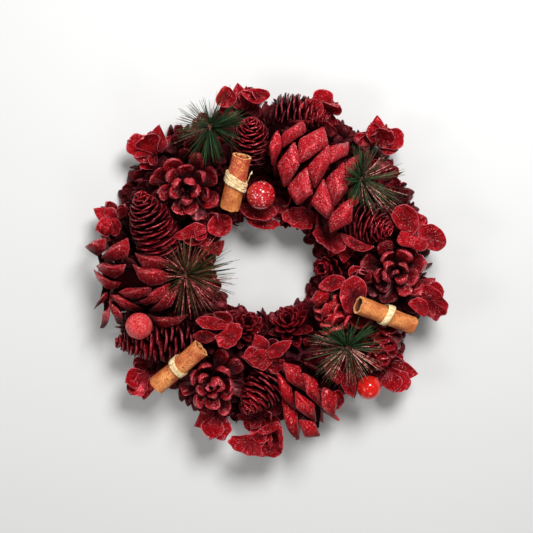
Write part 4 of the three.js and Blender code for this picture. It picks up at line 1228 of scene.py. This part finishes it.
petalClusters = {
    # place; the petals seen, as outlines in the picture with height, slopes and kind; the rest by heading
    "top_left": ((-20, 143, 28), [
        ([(223, 86.5), (231, 88), (237, 98), (230, 107), (219, 105), (216, 98)], 34, (0, 0.1), "round"),
        ([(241, 92), (249, 89.5), (259, 89), (268, 91.5), (270, 96), (264, 102), (256, 104.5), (248, 101)],
         37, (0, -0.2), "trough")], [(60, 0, 22, 20, 0, "rolled"), (100, 4, 24, 20, 0, "pointed")]),
    "top": ((50, 139, 28), [
        ([(301, 106), (306, 100), (313, 98.5), (320, 102), (324, 108), (321, 115), (316.5, 119.5),
         (308, 117)], 38, (0, 0), "round"),
        ([(318, 122), (325, 121), (332, 125), (337, 133), (330, 137), (321, 131)], 33, (0, -0.1), "round")],
        [(50, 8, 22, 20, 30, "rolled"), (84, -2, 22, 20, 0, "scalloped")]),
    "inner_top": ((8, 62, 34), [
        ([(246, 219), (258, 217), (272, 219), (280, 224), (273, 229.5), (262, 229), (252, 226)], 34,
         (0, -0.2), "scalloped"),
        ([(239, 207), (246, 203), (258, 206), (272, 206), (277, 213), (269, 220), (256, 220), (245, 216)],
         40, (0, -0.2), "round"),
        ([(273, 197), (282, 199), (289, 206), (284, 213), (275, 210)], 37, (0, -0.1), "round"),
        ([(281.5, 218), (285, 211.5), (295, 207), (305, 208), (313, 212), (316, 219), (311.5, 228),
         (304, 229.5), (296, 228.5), (288, 223.5)], 38, (0, -0.2), "scalloped")],
         [(280, -16, 20, 16, 0, "pointed")]),
    "inner_left_top": ((-52, 40, 38), [
        ([(197, 247), (210, 243), (225, 240), (223, 250), (219, 257), (208, 252)], 33, (0, -0.2),
         "pointed"),
        ([(183, 239), (196, 232), (207, 229), (206, 238), (198, 245), (189, 245)], 39, (0, -0.2), "round"),
        ([(171, 236.5), (184, 229), (195, 222.5), (206, 226), (206, 233), (194, 238.5), (182, 240.5)], 43,
         (0, -0.3), "pointed"),
        ([(208, 225), (214, 216.5), (222, 214), (231, 217), (232, 229), (226, 235.5), (217, 236.5),
         (209, 232)], 42, (0.1, -0.2), "round")], []),
    "inner_right_top": ((67, 32, 38), [
        ([(337, 252.5), (347, 249), (356.5, 250), (350, 257.5), (343, 264)], 35, (0, -0.2), "pointed"),
        ([(313, 231.5), (319, 226), (328.5, 226.5), (338, 233), (347, 240), (343, 251), (334, 253),
         (324, 246.5), (316, 240)], 42, (0, -0.2), "scalloped"),
        ([(341, 234), (352, 237.5), (364, 243.5), (374, 247), (363, 252.5), (352, 249.5), (345, 243)], 47,
         (0.1, -0.4), "trough")], [(250, -10, 24, 16, 0, "pointed")]),
    "right_top": ((122, 34, 38), [
        ([(392, 212), (397, 206), (404, 203), (412, 206), (417.5, 213), (418.5, 226), (411, 235),
         (400, 229), (393.5, 220)], 46, (0.1, 0.2), "round"),
        ([(417.5, 229), (424, 224.5), (433, 223.5), (441, 229), (446.5, 238), (444.5, 247), (436, 251),
         (427, 247.5), (420, 240)], 42, (0.2, 0), "round"),
        ([(397, 240), (399.5, 233), (404, 231), (415, 236), (426.5, 241.5), (427, 247), (421.7, 251.5),
         (410, 247.5), (400, 245)], 50, (0, -0.3), "bar")], [(30, -8, 26, 20, 0, "scalloped")]),
    "right": ((141, -22, 32), [
        ([(414.5, 290), (420, 285.5), (427, 284), (436, 287.5), (443.5, 296), (448.5, 307), (443, 315),
         (435, 319.5), (425, 313), (417, 302)], 41, (0.1, 0.1), "scalloped"),
        ([(408, 303), (414, 298), (420, 297.5), (426.5, 302), (428, 310), (424, 316.5), (415, 311)], 46,
         (0, -0.1), "round")], [(2, -4, 22, 20, 0, "round")]),
    "inner_right": ((87, -13, 44), [
        ([(318.5, 287.5), (324, 279.5), (332, 275), (343.5, 277), (345, 284), (337, 289.5), (328, 291.5)],
         46, (0, -0.2), "trough"),
        ([(340, 293.5), (343, 283), (352, 276), (360.5, 277.5), (367, 287), (364.5, 300), (357, 312),
         (347, 313), (341.5, 303)], 51, (0.1, -0.1), "round"),
        ([(347, 313), (356, 308.5), (368, 313), (374, 320), (366, 326.5), (357, 328.5), (350, 322.5)], 46,
         (0, -0.2), "round")], []),
    "inner_left_bottom": ((-42, -54, 38), [
        ([(195, 321), (201, 316.5), (209, 316), (220, 319.5), (231, 323), (226, 329.5), (215, 330.5),
         (203, 328.5)], 47, (0, -0.3), "pointed"),
        ([(192, 337), (198, 331.5), (207, 330.5), (217, 336), (211, 341.5), (203, 343)], 43, (0, -0.2),
         "trough"),
        ([(215.5, 337), (224, 331), (233, 322.5), (240.5, 325.5), (242.5, 332), (238, 341.5), (230, 348),
         (221, 347)], 48, (0.1, -0.2), "scalloped")], [(70, -6, 22, 18, 0, "rolled")]),
    "inner_bottom": ((0, -77, 38), [
        ([(265, 350.5), (274, 343.5), (283, 340.5), (292.5, 340.5), (289, 348), (280, 357), (270, 359)], 47,
         (0, -0.2), "pointed"),
        ([(242, 357), (252, 353.5), (262, 348.5), (270.5, 355), (271.5, 363), (263, 370), (252, 365.5)], 44,
         (0, -0.2), "ruffled"),
        ([(267, 364), (276, 358), (285, 361), (281, 370), (271, 373)], 41, (0, -0.1), "ruffled")],
        [(200, 0, 22, 18, 20, "rolled"), (120, -4, 20, 18, 0, "pointed")]),
    "bottom": ((-4, -139, 32), [
        ([(228.5, 441), (231.5, 436), (240, 435), (250, 434), (259, 430.5), (268, 427.5), (267, 438),
         (263, 446), (260, 455), (251, 455.5), (241, 452.5), (232, 447.5)], 40, (0, -0.2), "scalloped"),
        ([(257, 449), (263, 445), (272, 445.5), (280, 440), (283.5, 447), (280, 454), (271, 458),
         (261, 457)], 37, (0, -0.1), "ruffled"),
        ([(258, 431), (263, 426.5), (270, 423.5), (278, 421.5), (279.5, 427), (272, 432), (262, 434.5)], 46,
         (0, -0.2), "round"),
        ([(277, 423), (281, 426), (283, 436), (282, 447), (278.5, 446), (278.5, 434)], 45, (0.6, 0),
         "wall"),
        ([(268, 435), (271, 434), (272, 441), (271, 448), (268, 448), (267.5, 441)], 40, (0.7, 0), "wall"),
        ([(262, 430), (272, 426), (282, 430), (281, 446), (270, 451), (262, 446)], 33, (0, -0.1), "under")],
         [
        (270, -10, 24, 20, 0, "rolled"), (128, -20, 26, 24, 0, "round"), (84, -20, 22, 24, 0, "scalloped"),
        (44, -20, 24, 20, 0, "round")]),
    "bottom_right": ((70, -88, 38), [
        ([(334, 391), (341, 391), (344, 401), (337, 409), (331.5, 401)], 36, (0, -0.1), "round"),
        ([(329.5, 368), (338, 365.5), (344, 376), (338, 385), (330.5, 378)], 43, (0, -0.1), "pointed"),
        ([(342.5, 373), (350.5, 370.5), (355, 380), (356, 390), (353, 398), (345, 393), (340.5, 383)], 43,
         (0, -0.2), "pointed")], [(300, -6, 26, 19, 0, "round")]),
    "bottom_left": ((-44, -136, 26), [], [
        (250, 8, 28, 22, 0, "rolled"), (284, 12, 26, 20, 0, "scalloped"), (212, 4, 26, 20, 0, "pointed")]),
    "left_top": ((-134, 42, 28), [
        ([(109, 221), (117, 218), (122, 226), (117, 235), (110.5, 233)], 33, (0, 0), "round"),
        ([(97, 225), (101, 219), (108, 217), (112, 222), (111.5, 230), (106.5, 235.5), (100, 231.5)], 38,
         (-0.2, 0), "bar")],
        [(150, 4, 24, 20, 0, "pointed"), (200, 0, 22, 18, 0, "rolled")]),
    "corner_upper_left": ((-98, 104, 26), [], [
        (120, 12, 28, 24, 0, "rolled"), (155, 6, 28, 22, 0, "scalloped"), (82, 10, 26, 20, 0, "pointed")]),
    "corner_upper_right": ((100, 112, 26), [], [
        (52, 10, 24, 21, 0, "rolled"), (20, 12, 26, 21, 0, "scalloped"), (90, 6, 26, 20, 0, "pointed")]),
    "corner_lower_left": ((-108, -98, 26), [], [
        (228, 10, 26, 21, 0, "scalloped"), (196, 6, 26, 20, 0, "rolled"), (262, 8, 26, 20, 0, "pointed")]),
    "corner_lower_right": ((114, -94, 26), [], [
        (312, 10, 26, 21, 0, "scalloped"), (350, 8, 28, 21, 0, "pointed"), (280, 4, 24, 20, 0, "rolled")]),
}
petalFillers = {
    "count": 10, "kinds": ("round", "pointed", "rolled"), "length": (14, 22), "width": (10, 16),
    "sunk": (3, 9), "spread": (-130, 130), "rise": (-20, 12), "roll": (-25, 25), "light": (0.5, 0.95),
}


def buildPetals(name, at, seen, others, seed):
    rng = np.random.default_rng(300 + seed)
    heap = Heap()
    at = np.array(at, float)
    for outline, z, slopes, kind in seen:
        shape = dict(plateShape, **plateKinds[kind])
        centre = addPlate(heap, outline, z, slopes, shape, rng, rng.uniform(0.7, 1.0))
        bend = (at + centre) / 2 - (0, 0, 3)
        addTube(heap, [at - (0, 0, 8), bend, centre - (0, 0, 0.8)], [1.3, 1.2, 0.9], shade=0.3)
    for turn, rise, length, width, roll, kind in others:
        curl, cup = rng.uniform(0.1, 0.5), rng.uniform(1.2, 3.0)
        shape = dict(petalShape, length=length, width=width, curl=curl, cup=cup)
        shape.update(petalKinds[kind])
        addScale(heap, at, heading(turn, rise, roll), shape, rng, rng.uniform(0.7, 1.0))
    foot = at - (0, 0, 22)
    addTube(heap, [at + (0, 0, 0.5), (at + foot) / 2, foot], [1.4, 1.3, 1.0], shade=0.3)
    outward = math.degrees(math.atan2(at[1], at[0]))
    f = petalFillers
    for k in range(f["count"]):
        turn = outward + rng.uniform(*f["spread"])
        length, width = rng.uniform(*f["length"]), rng.uniform(*f["width"])
        small = dict(petalShape, steps=(8, 7), length=length, width=width, thick=0.9)
        small.update(petalKinds[f["kinds"][k % len(f["kinds"])]])
        root = at - (0, 0, rng.uniform(*f["sunk"]))
        turn = heading(turn, rng.uniform(*f["rise"]), rng.uniform(*f["roll"]))
        addScale(heap, root, turn, small, rng, rng.uniform(*f["light"]))
    heap.piece("petals_" + name, ["petals_" + name], "petals", [paint["petal"]])


for seed, (name, (at, seen, others)) in enumerate(petalClusters.items()):
    buildPetals(name, at, seen, others, seed)
print("petals laid")

# Dark open cones low on the slope of the hole

darkShape = {
    "steps": (9, 7), "thick": 1.9, "neck": 0.4, "wide": 0.5, "blunt": 1.5, "point": 0.7, "cup": 1.6,
    "curl": 0.35, "ridge": -0.5, "rimFrom": 0.75, "rootShade": 0.15,
}
darkCones = {
    "inner_bottom_left": {"at": (-22, -64, 15), "turn": 70, "rise": 52, "length": 30, "radius": 24,
        "count": 26, "width": 12},
    "inner_bottom_right": {"at": (26, -63, 15), "turn": 105, "rise": 48, "length": 32, "radius": 26,
        "count": 28, "width": 12},
    "inner_right": {"at": (67, 2, 15), "turn": 186, "rise": 52, "length": 28, "radius": 22, "count": 24,
        "width": 11},
    "inner_top": {"at": (23, 60, 15), "turn": 258, "rise": 40, "length": 28, "radius": 19, "count": 20,
        "width": 10},
    "inner_left": {"at": (-65, 15, 15), "turn": 345, "rise": 50, "length": 26, "radius": 20, "count": 22,
        "width": 11},
}


def buildDarkCone(name, s, seed):
    rng = np.random.default_rng(500 + seed)
    heap = Heap()
    axes = coneAxes(s["turn"], s["rise"])
    base = np.array(s["at"], float)
    core, length = 0.24 * s["radius"], s["length"]
    profile = [(0, 1), (2, core), (0.5 * length, core), (0.85 * length, 0.4 * core), (length, 0.6)]
    addCore(heap, base, axes, profile, 0.15)
    for k in range(s["count"]):
        share = k / (s["count"] - 1)
        leanOut = math.radians(mix(88, 20, share)) + rng.uniform(-0.08, 0.08)
        reach = (s["radius"] - 0.6 * core) * mix(1.0, 0.5, share) * rng.uniform(0.92, 1.05)
        shape = dict(darkShape, length=reach, width=s["width"] * mix(1.0, 0.65, share))
        height = length * mix(0.14, 0.72, share)
        coneScale(heap, base, axes, height, k * goldenAngle, 0.6 * core, leanOut, shape, rng,
                  rng.uniform(0.5, 0.95))
    heap.piece("dark_cone_" + name, ["cone_dark_" + name], "dark_cone", [paint["dark"], paint["core"]])


for seed, (name, s) in enumerate(darkCones.items()):
    buildDarkCone(name, s, seed)
print("dark cones made")

# Berries on wire, dimpled and glittered

berries = {
    "upper": {"at": (261, 195), "z": 57, "radius": 12.6, "coat": "berry"},
    "left": {"at": (139, 326), "z": 59, "radius": 12.0, "coat": "coral"},
    "lower_right": {"at": (369, 387.5), "z": 48, "radius": 11.0, "coat": "smooth"},
}
berrySkin = {"rows": 26, "sides": 40, "dimples": 16, "sharp": 60, "deep": 0.035}


def buildBerry(name, s, seed):
    rng = np.random.default_rng(600 + seed)
    heap = Heap()
    centre = spot(*s["at"], s["z"])
    rows, sides = berrySkin["rows"], berrySkin["sides"]
    dimples = rng.normal(size=(berrySkin["dimples"], 3))
    dimples /= np.linalg.norm(dimples, axis=1)[:, None]
    around = roundAngles(sides)
    rings = []
    for row in range(rows):
        polar = math.pi * (row + 0.5) / rows
        out = np.sin(polar)
        way = np.stack([out * np.cos(around), out * np.sin(around), np.full(sides, math.cos(polar))], 1)
        dent = np.exp((way @ dimples.T - 1) * berrySkin["sharp"]).sum(1) * berrySkin["deep"]
        lump = 0.012 * np.sin(way[:, 0] * 7 + seed) * np.sin(way[:, 1] * 6) + 0.01 * np.sin(way[:, 2] * 9)
        rings.append(centre + way * (s["radius"] * (1 - dent + lump))[:, None])
    addLoft(heap, rings[::-1], shade=0.85)
    foot = centre - (0, 0, s["radius"] + 24)
    wire = [centre - (0, 0, s["radius"] - 2), (centre + foot) / 2 - (0, 0, 4), foot]
    addTube(heap, wire, [0.9, 0.8, 0.8], shade=0.1)
    heap.piece("berry_" + name, ["berry_" + name], "berry", [paint[s["coat"]]])


for seed, (name, s) in enumerate(berries.items()):
    buildBerry(name, s, seed)
print("berries made")

# Cinnamon sticks: rolled bark, with the two edges turned in as scrolls, or one open roll

sticks = {
    # where the ends show and how high they lie; roll and knot, where a band of raffia is knotted, in degrees
    "1": {"ends": ((229.5, 208), (242, 156)), "z": (52, 62.5), "radius": 8.6, "double": True, "red": 0.9,
          "roll": 12, "pits": 0.53, "tied": 0.52},
    "2": {"ends": ((358.5, 304.5), (412.5, 325)), "z": (67, 49), "radius": 8.6, "double": False, "red": 0.0,
          "roll": 0, "pits": 0.54, "tied": 0.5, "knot": 250},
    "3": {"ends": ((156, 386), (201, 348)), "z": (53.5, 58.5), "radius": 8.4, "double": True, "red": 0.3,
          "roll": -20, "pits": 0.7, "tied": 0.5, "knot": 60},
}
quill = {
    "wall": 1.8, "steps": 30,
    "scroll": 0.42, "meet": 52, "curl": 4.4, "shrink": 0.72, "points": 22,  # a scroll's size, place and turn
    "turns": 1.22, "start": 0.6, "tighten": 0.19, "rollPoints": 60,  # the open roll
}


# Places on a circle of radius 1
def circlePoints(angles):
    return np.stack([np.cos(angles), np.sin(angles)], 1)


# The outlines of rolled bark, and which of their points face inwards
def quillSections(s):
    wall, radius = quill["wall"], s["radius"]
    if s["double"]:
        scroll, meet = quill["scroll"] * radius, math.radians(quill["meet"])
        curlMiddle = (radius - scroll) * circlePoints([meet])
        wideTurn = np.linspace(-math.pi / 2, meet, quill["points"])
        curled = np.linspace(meet, meet + quill["curl"], quill["points"])[1:]
        shrink = np.linspace(1, quill["shrink"], quill["points"] - 1)[:, None]

        def outline(inset):
            tight = curlMiddle + (scroll * shrink - inset) * circlePoints(curled)
            return np.concatenate([(radius - inset) * circlePoints(wideTurn), tight])

        right = np.concatenate([outline(0), outline(wall)[::-1]]) * (1, -1)
        hidden = np.arange(len(right)) >= len(right) // 2
        return [(right[::-1], hidden[::-1]), (right * (-1, 1), hidden)]
    share = np.linspace(0, 1, quill["rollPoints"])
    angle = share * 2 * math.pi * quill["turns"] + quill["start"]
    reach = (radius * (1 - quill["tighten"] * np.clip(share - 0.1, 0, 1)))[:, None]
    outer, inner = reach * circlePoints(angle), ((reach - wall) * circlePoints(angle))[::-1]
    return [(np.concatenate([outer, inner]), np.arange(2 * len(share)) >= len(share))]


def buildStick(name, s, seed):
    heap = Heap()
    start, end = spot(*s["ends"][0], s["z"][0]), spot(*s["ends"][1], s["z"][1])
    axis = unit(end - start)
    length = np.linalg.norm(end - start)
    turn = turned(math.radians(s["roll"]), axis) @ facing(axis, (0, 0, 1))
    rows = quill["steps"] + 1
    for section, inside in quillSections(s):
        sides = len(section)
        angle = np.arctan2(section[:, 1], section[:, 0])
        jag = 0.18 * np.sin(7 * angle + seed) + 0.22 * np.sin(3 * angle)
        rings = []
        for row in range(rows):
            share = row / quill["steps"]
            swell = 1 + 0.02 * math.sin(5 * share + seed) + 0.012 * math.sin(13 * share)
            ripple = 1 + 0.012 * np.sin(3 * angle + 4 * share + seed) + 0.006 * np.sin(9 * angle + 11 * share)
            flat = section * swell * ripple[:, None]
            along = (share * length + jag * (share in (0, 1)))[:, None]
            rings.append(start + axis * along + flat[:, :1] * turn[:, 1] + flat[:, 1:] * turn[:, 2])
        rings = np.array(rings)
        where = np.repeat(np.arange(rows) / quill["steps"], sides)
        # Painted shade: the rim mark darkens the inner faces of the roll, away from its cut ends
        depth = 0.9 * np.tile(inside, rows) * ((where > 0) & (where < 1))
        reds = s["red"] * ease((where - 0.45) / 0.25) * (depth == 0)
        heap.add(rings.reshape(-1, 3), skin(rows, sides), rim=depth, shade=s["pits"], frost=reds)
        near = np.arange(sides // 2 - 1)
        strip = np.stack([near, near + 1, sides - 2 - near, sides - 1 - near], -1)
        heap.add(np.concatenate([rings[0], rings[-1]]), strip[:, ::-1], strip + sides, finish=1)
    heap.piece("cinnamon_stick_" + name, ["cinnamon_stick_" + name], "cinnamon", [bark, cut])
    return start + axis * length * s["tied"], turn


twine = {
    "turns": 18, "wide": 4.2, "slant": 3.6, "steps": 48, "winds": 44, "apart": 0.32, "thick": 0.42,
    "loose": ((8, 0.6, 2), (11, 2.4, 2.4), (12, 2.6, 1), (7, 1.2, 1), (2, 0.4, 2)),  # along, below and across
}
band = {
    "count": 3, "apart": 1.6, "steps": 60, "lift": 0.15, "slant": 1.2, "wide": 1.9,
    "knot": 4, "knotOut": 1.4, "knotReach": 2.4, "knotCurl": 1.2, "knotThick": 0.7,
    # its section: how far to the side, and how far out
    "section": ((-1, 0.0), (-0.6, 0.35), (0, 0.2), (0.6, 0.4), (1, 0.0), (0.6, -0.3), (-0.6, -0.3)),
}


# Many turns of two twisted cords, with a loose end
def addTwine(heap, centre, turn, radius, rng):
    angles = np.linspace(0, 2 * math.pi, twine["steps"])
    circle = np.cos(angles)[:, None] * turn[:, 1] + np.sin(angles)[:, None] * turn[:, 2]
    for k in range(twine["turns"]):
        offset = mix(-twine["wide"], twine["wide"], k / (twine["turns"] - 1))
        slant = twine["slant"] + rng.uniform(-0.5, 0.5)
        out = radius + rng.uniform(-0.1, 0.9)
        swing = slant * np.cos(angles) + offset + 0.5 * np.sin(3 * angles + rng.uniform(0, 6))
        path = centre + swing[:, None] * turn[:, 0] + out * circle
        twist = np.linspace(0, twine["winds"], len(path)) + k
        for half in (0, math.pi):
            wind = np.stack([np.sin(twist + half), np.cos(twist + half), np.sin(twist + half)], 1)
            addTube(heap, path + twine["apart"] * wind, twine["thick"], 5, frost=rng.choice([0.0, 0.0, 0.4]))
    loose = [centre + turn @ np.array([x, -radius - y, z]) for x, y, z in twine["loose"]]
    addTube(heap, loose, [0.6, 0.6, 0.55, 0.5, 0.45], 5)


# Three flat bands that overlap, with a knot
def addRaffia(heap, centre, turn, radius, knot, seed, rng):
    for k in range(band["count"]):
        rings = []
        for angle in np.linspace(0, 2 * math.pi, band["steps"] + 1):
            out = radius + band["lift"] * k + 0.25 * math.sin(3 * angle + k)
            swing = (band["slant"] + 0.5 * k) * math.cos(angle + 0.6) + 0.3 * math.sin(2 * angle + seed)
            along = (k - 1) * band["apart"] + swing
            wide = band["wide"] + 0.35 * math.sin(2 * angle + k)
            row = [(along + side * wide, (out + thick) * math.cos(angle), (out + thick) * math.sin(angle))
                   for side, thick in band["section"]]
            rings.append((centre + np.array(row) @ turn.T)[::-1])
        addLoft(heap, rings, frost=0.08 * k)
    around = math.radians(knot)
    at = centre + (radius + band["knotOut"]) * (turn[:, 1] * math.cos(around) + turn[:, 2] * math.sin(around))
    places = np.linspace(-1, 1, 9)[:, None]
    for k in range(band["knot"]):
        way = turn @ rng.uniform(-1, 1, 3) * band["knotReach"]
        curve = at + way * places + band["knotCurl"] * np.sin(places * 5 + k) * turn[:, k % 3]
        addTube(heap, curve, band["knotThick"], 5)


tieWire = {"out": 0.75, "long": 30.0, "bend": 6, "radius": 0.8, "stain": 0.6}


def buildTie(name, s, seed, centre, turn):
    rng = np.random.default_rng(800 + seed)
    heap = Heap()
    radius = s["radius"] + tieWire["out"]
    if "knot" in s:
        addRaffia(heap, centre, turn, radius, s["knot"], seed, rng)
    else:
        addTwine(heap, centre, turn, radius, rng)
    foot = centre - (0, 0, tieWire["long"])
    bend = (centre + foot) / 2 - (0, 0, tieWire["bend"])
    addTube(heap, [centre - (0, 0, radius), bend, foot], tieWire["radius"], frost=tieWire["stain"])
    heap.piece("tie_" + name, ["tie_" + name], "raffia", [raffia])


for seed, (name, s) in enumerate(sticks.items()):
    buildTie(name, s, seed, *buildStick(name, s, seed))
print("cinnamon sticks tied")

# Pine sprigs: a short twig with bursts of needles

needle = {
    "radius": 0.29, "steps": 5, "taper": (0.9, 1.1, 1.0, 0.8, 0.35), "dusted": (0.2, 0.7, 1, 1, 1),
    "kept": 0.85,  # share of each bundle's count
    "lit": 0.3, "pale": (0.65, 1.1), "dark": (0.05, 0.32),  # share of pale ones, and how lit both kinds are
    "low": 60, "deepest": 17, "lowReach": (25, 13),  # short ones below the others
}
sprigStem = {
    "long": 30.0, "top": 2.2, "radii": (0.8, 1.7, 1.4),
    "buds": 9, "budReach": (2.2, 3.6), "budRadii": (1.3, 1.0, 0.3),
}
sprigs = {
    # bundles: heading, spread, count, rise, reach, share of frosted needles
    "upper_left": {"at": (210.5, 127), "z": 58, "slot": "green_needles", "ice": 1.0, "bundles": [
        (262, 10, 44, 6, 33, 0.0), (285, 8, 34, 4, 32, 0.0), (16, 10, 36, 10, 34, 0.02),
        (36, 8, 24, 14, 32, 0.0), (-16, 9, 22, 6, 28, 0.05), (-38, 8, 8, 6, 34, 0.1),
        (72, 4, 8, 16, 38, 0.1), (100, 9, 10, 14, 28, 0.1), (130, 12, 12, 12, 28, 0.2),
        (155, 10, 12, 8, 32, 0.25), (180, 10, 12, 4, 34, 0.2), (205, 10, 12, 0, 38, 0.15),
        (232, 10, 14, 2, 36, 0.05)]},
    "upper_right": {"at": (361.5, 179), "z": 62, "slot": "green_needles", "ice": 0.6, "bundles": [
        (-30, 9, 24, 6, 46, 0.45), (-45, 8, 18, 4, 42, 0.4), (-62, 8, 16, 4, 36, 0.3),
        (-90, 12, 22, 6, 30, 0.06), (-120, 14, 34, 10, 24, 0.0), (180, 14, 34, 24, 18, 0.0),
        (135, 16, 28, 30, 20, 0.0), (100, 8, 22, 14, 32, 0.02), (75, 10, 16, 12, 34, 0.12),
        (45, 12, 16, 10, 32, 0.25), (12, 8, 14, 6, 36, 0.35)]},
    "lower_right": {"at": (347.5, 347), "z": 62, "slot": "green_needles", "ice": 0.8, "bundles": [
        (165, 10, 20, 6, 38, 0.12), (140, 10, 18, 14, 32, 0.04), (112, 14, 22, 22, 26, 0.0),
        (80, 14, 22, 26, 24, 0.0), (48, 12, 24, 16, 32, 0.0), (18, 10, 18, 8, 34, 0.04),
        (-8, 10, 16, 6, 34, 0.15), (-38, 10, 16, 2, 38, 0.5), (-62, 10, 16, 0, 38, 0.55),
        (-88, 10, 16, 0, 38, 0.6), (-112, 10, 16, 0, 38, 0.6), (-138, 10, 16, 2, 38, 0.55),
        (-165, 9, 14, 4, 38, 0.4)]},
    "left": {"at": (186, 275), "z": 64, "slot": "frosted_needles", "ice": 0.8, "bundles": [
        (60, 12, 16, 12, 36, 0.2), (35, 10, 22, 8, 44, 0.08), (12, 8, 20, 6, 46, 0.05),
        (-8, 8, 18, 4, 46, 0.12), (-28, 9, 18, 2, 44, 0.35), (-52, 10, 20, 0, 42, 0.5),
        (-78, 10, 20, 0, 40, 0.6), (-102, 10, 18, 0, 38, 0.6), (-125, 9, 12, 2, 32, 0.5),
        (90, 12, 16, 14, 34, 0.3), (118, 12, 14, 16, 32, 0.3), (148, 12, 12, 14, 26, 0.4),
        (180, 14, 8, 10, 22, 0.4)]},
}


# A needle that sags as it goes out, with a light for each of its steps
def addNeedle(heap, root, way, length, sag, wide, light, frost=0.0):
    share = np.linspace(0, 1, needle["steps"])[:, None]
    path = root + way * length * share + sag * share ** 2
    radii = needle["radius"] * wide * np.array(needle["taper"])
    dusted = frost * np.array(needle["dusted"])
    addTube(heap, path, radii, 4, frost=np.repeat(dusted, 4), shade=np.repeat(light, 4))


def buildSprig(name, s, seed):
    rng = np.random.default_rng(900 + seed)
    heap = Heap()
    at = spot(*s["at"], s["z"])
    for turn, spread, count, rise, reach, frosted in s["bundles"]:
        for _ in range(int(count * needle["kept"])):
            around = math.radians(turn + rng.normal() * spread * 0.7)
            way = direction(around, math.radians(rise + rng.normal() * 7))
            length = reach * rng.uniform(0.74, 1.04)
            sag = rng.normal(size=3) * 0.05 * length - (0, 0, 0.06 * length)
            root = at + rng.normal(size=3) * (1.0, 1.0, 0.8)
            wide = rng.uniform(0.8, 1.2)
            icy = rng.uniform() < frosted * s["ice"]
            frost = rng.uniform(0.45, 1.0) if icy else rng.uniform(0, 0.12 * (frosted > 0.1))
            pale = rng.uniform(*needle["pale"] if rng.uniform() < needle["lit"] else needle["dark"])
            # Painted shade: each needle darker at its root, lighter at its tip
            light = np.linspace(0.15, 1.0, needle["steps"]) ** 0.8 * pale
            addNeedle(heap, root, way, length, sag, wide, light, frost)
    for _ in range(needle["low"]):
        down = rng.uniform(2, needle["deepest"])
        around = rng.uniform(0, 2 * math.pi)
        way = unit(np.array([math.cos(around), math.sin(around), rng.uniform(0.1, 0.9)]))
        reach = mix(*needle["lowReach"], down / needle["deepest"]) * rng.uniform(0.7, 1.0)
        # Painted shade: the short needles below the others are darker
        light = np.linspace(0.1, 0.6, needle["steps"]) * rng.uniform(0.3, 1.0)
        addNeedle(heap, at - (0, 0, down), way, reach, np.array([0, 0, -0.1 * reach]), 1.0, light)
    stem = [at + (0, 0, sprigStem["top"]), at, at - (0, 0, sprigStem["long"])]
    addTube(heap, stem, sprigStem["radii"], 8, finish=1)
    near, far = sprigStem["budReach"]
    for _ in range(sprigStem["buds"]):
        way = unit(rng.normal(size=3) * (1, 1, 0.6) + (0, 0, 0.5))
        addTube(heap, [at, at + way * near, at + way * far], sprigStem["budRadii"], 5, finish=1)
    heap.piece("sprig_" + name, ["sprig_" + name], s["slot"], [needleFinishes[s["slot"]], twig])


for seed, (name, s) in enumerate(sprigs.items()):
    buildSprig(name, s, seed)
print("sprigs made")

paintDepthShade(depthShade)
for heap in heaps:
    heap.build()
print("pieces built", sum(len(heap.faces) for heap in heaps), "faces")

# Floor, light and world

paleGrey, worn = (0.66, 0.66, 0.65, 1.0), 0.97
ground = Finish("pale floor", 0.7)
patches = ground.range(ground.noise(3, 2), 0.3, 0.7, 0.0, 0.25)
ground.colour(ground.blend(patches, paleGrey, tuple(worn * part for part in paleGrey[:3]) + (1.0,)), paleGrey)
floorMesh = bpy.data.meshes.new("floor")
floorMesh.from_pydata([(-3, -3, 0), (3, -3, 0), (3, 3, 0), (-3, 3, 0)], [], [(0, 1, 2, 3)])
floorMesh.materials.append(ground.material)
floor = bpy.data.objects.new("floor", floorMesh)
bpy.context.collection.objects.link(floor)

litPoint = np.array([0, 0, 0.03])  # where every light is aimed


def softLight(name, where, size, power):
    data = bpy.data.lights.new(name, "AREA")
    data.shape = "DISK"
    data.size = size
    data.energy = power
    light = bpy.data.objects.new(name, data)
    light.location = where
    back = unit(np.array(where, float) - litPoint)
    side = unit(np.cross((0, 1, 0.01), back))
    light.rotation_euler = Matrix(np.stack([side, np.cross(back, side), back], 1).tolist()).to_euler()
    bpy.context.collection.objects.link(light)


softLight("key", (0.28, 0.75, 1.05), 0.5, 22)
softLight("fill", (-0.8, -0.1, 0.8), 0.4, 3)
softLight("front", (0.25, -0.8, 0.7), 0.4, 1.5)

world = bpy.data.worlds.new("world")
world.use_nodes = True
world.node_tree.nodes["Background"].inputs["Color"].default_value = (1, 1, 1, 1)
world.node_tree.nodes["Background"].inputs["Strength"].default_value = 0.17
bpy.context.scene.world = world
bpy.context.scene.view_settings.view_transform = "Standard"
print("stage set")
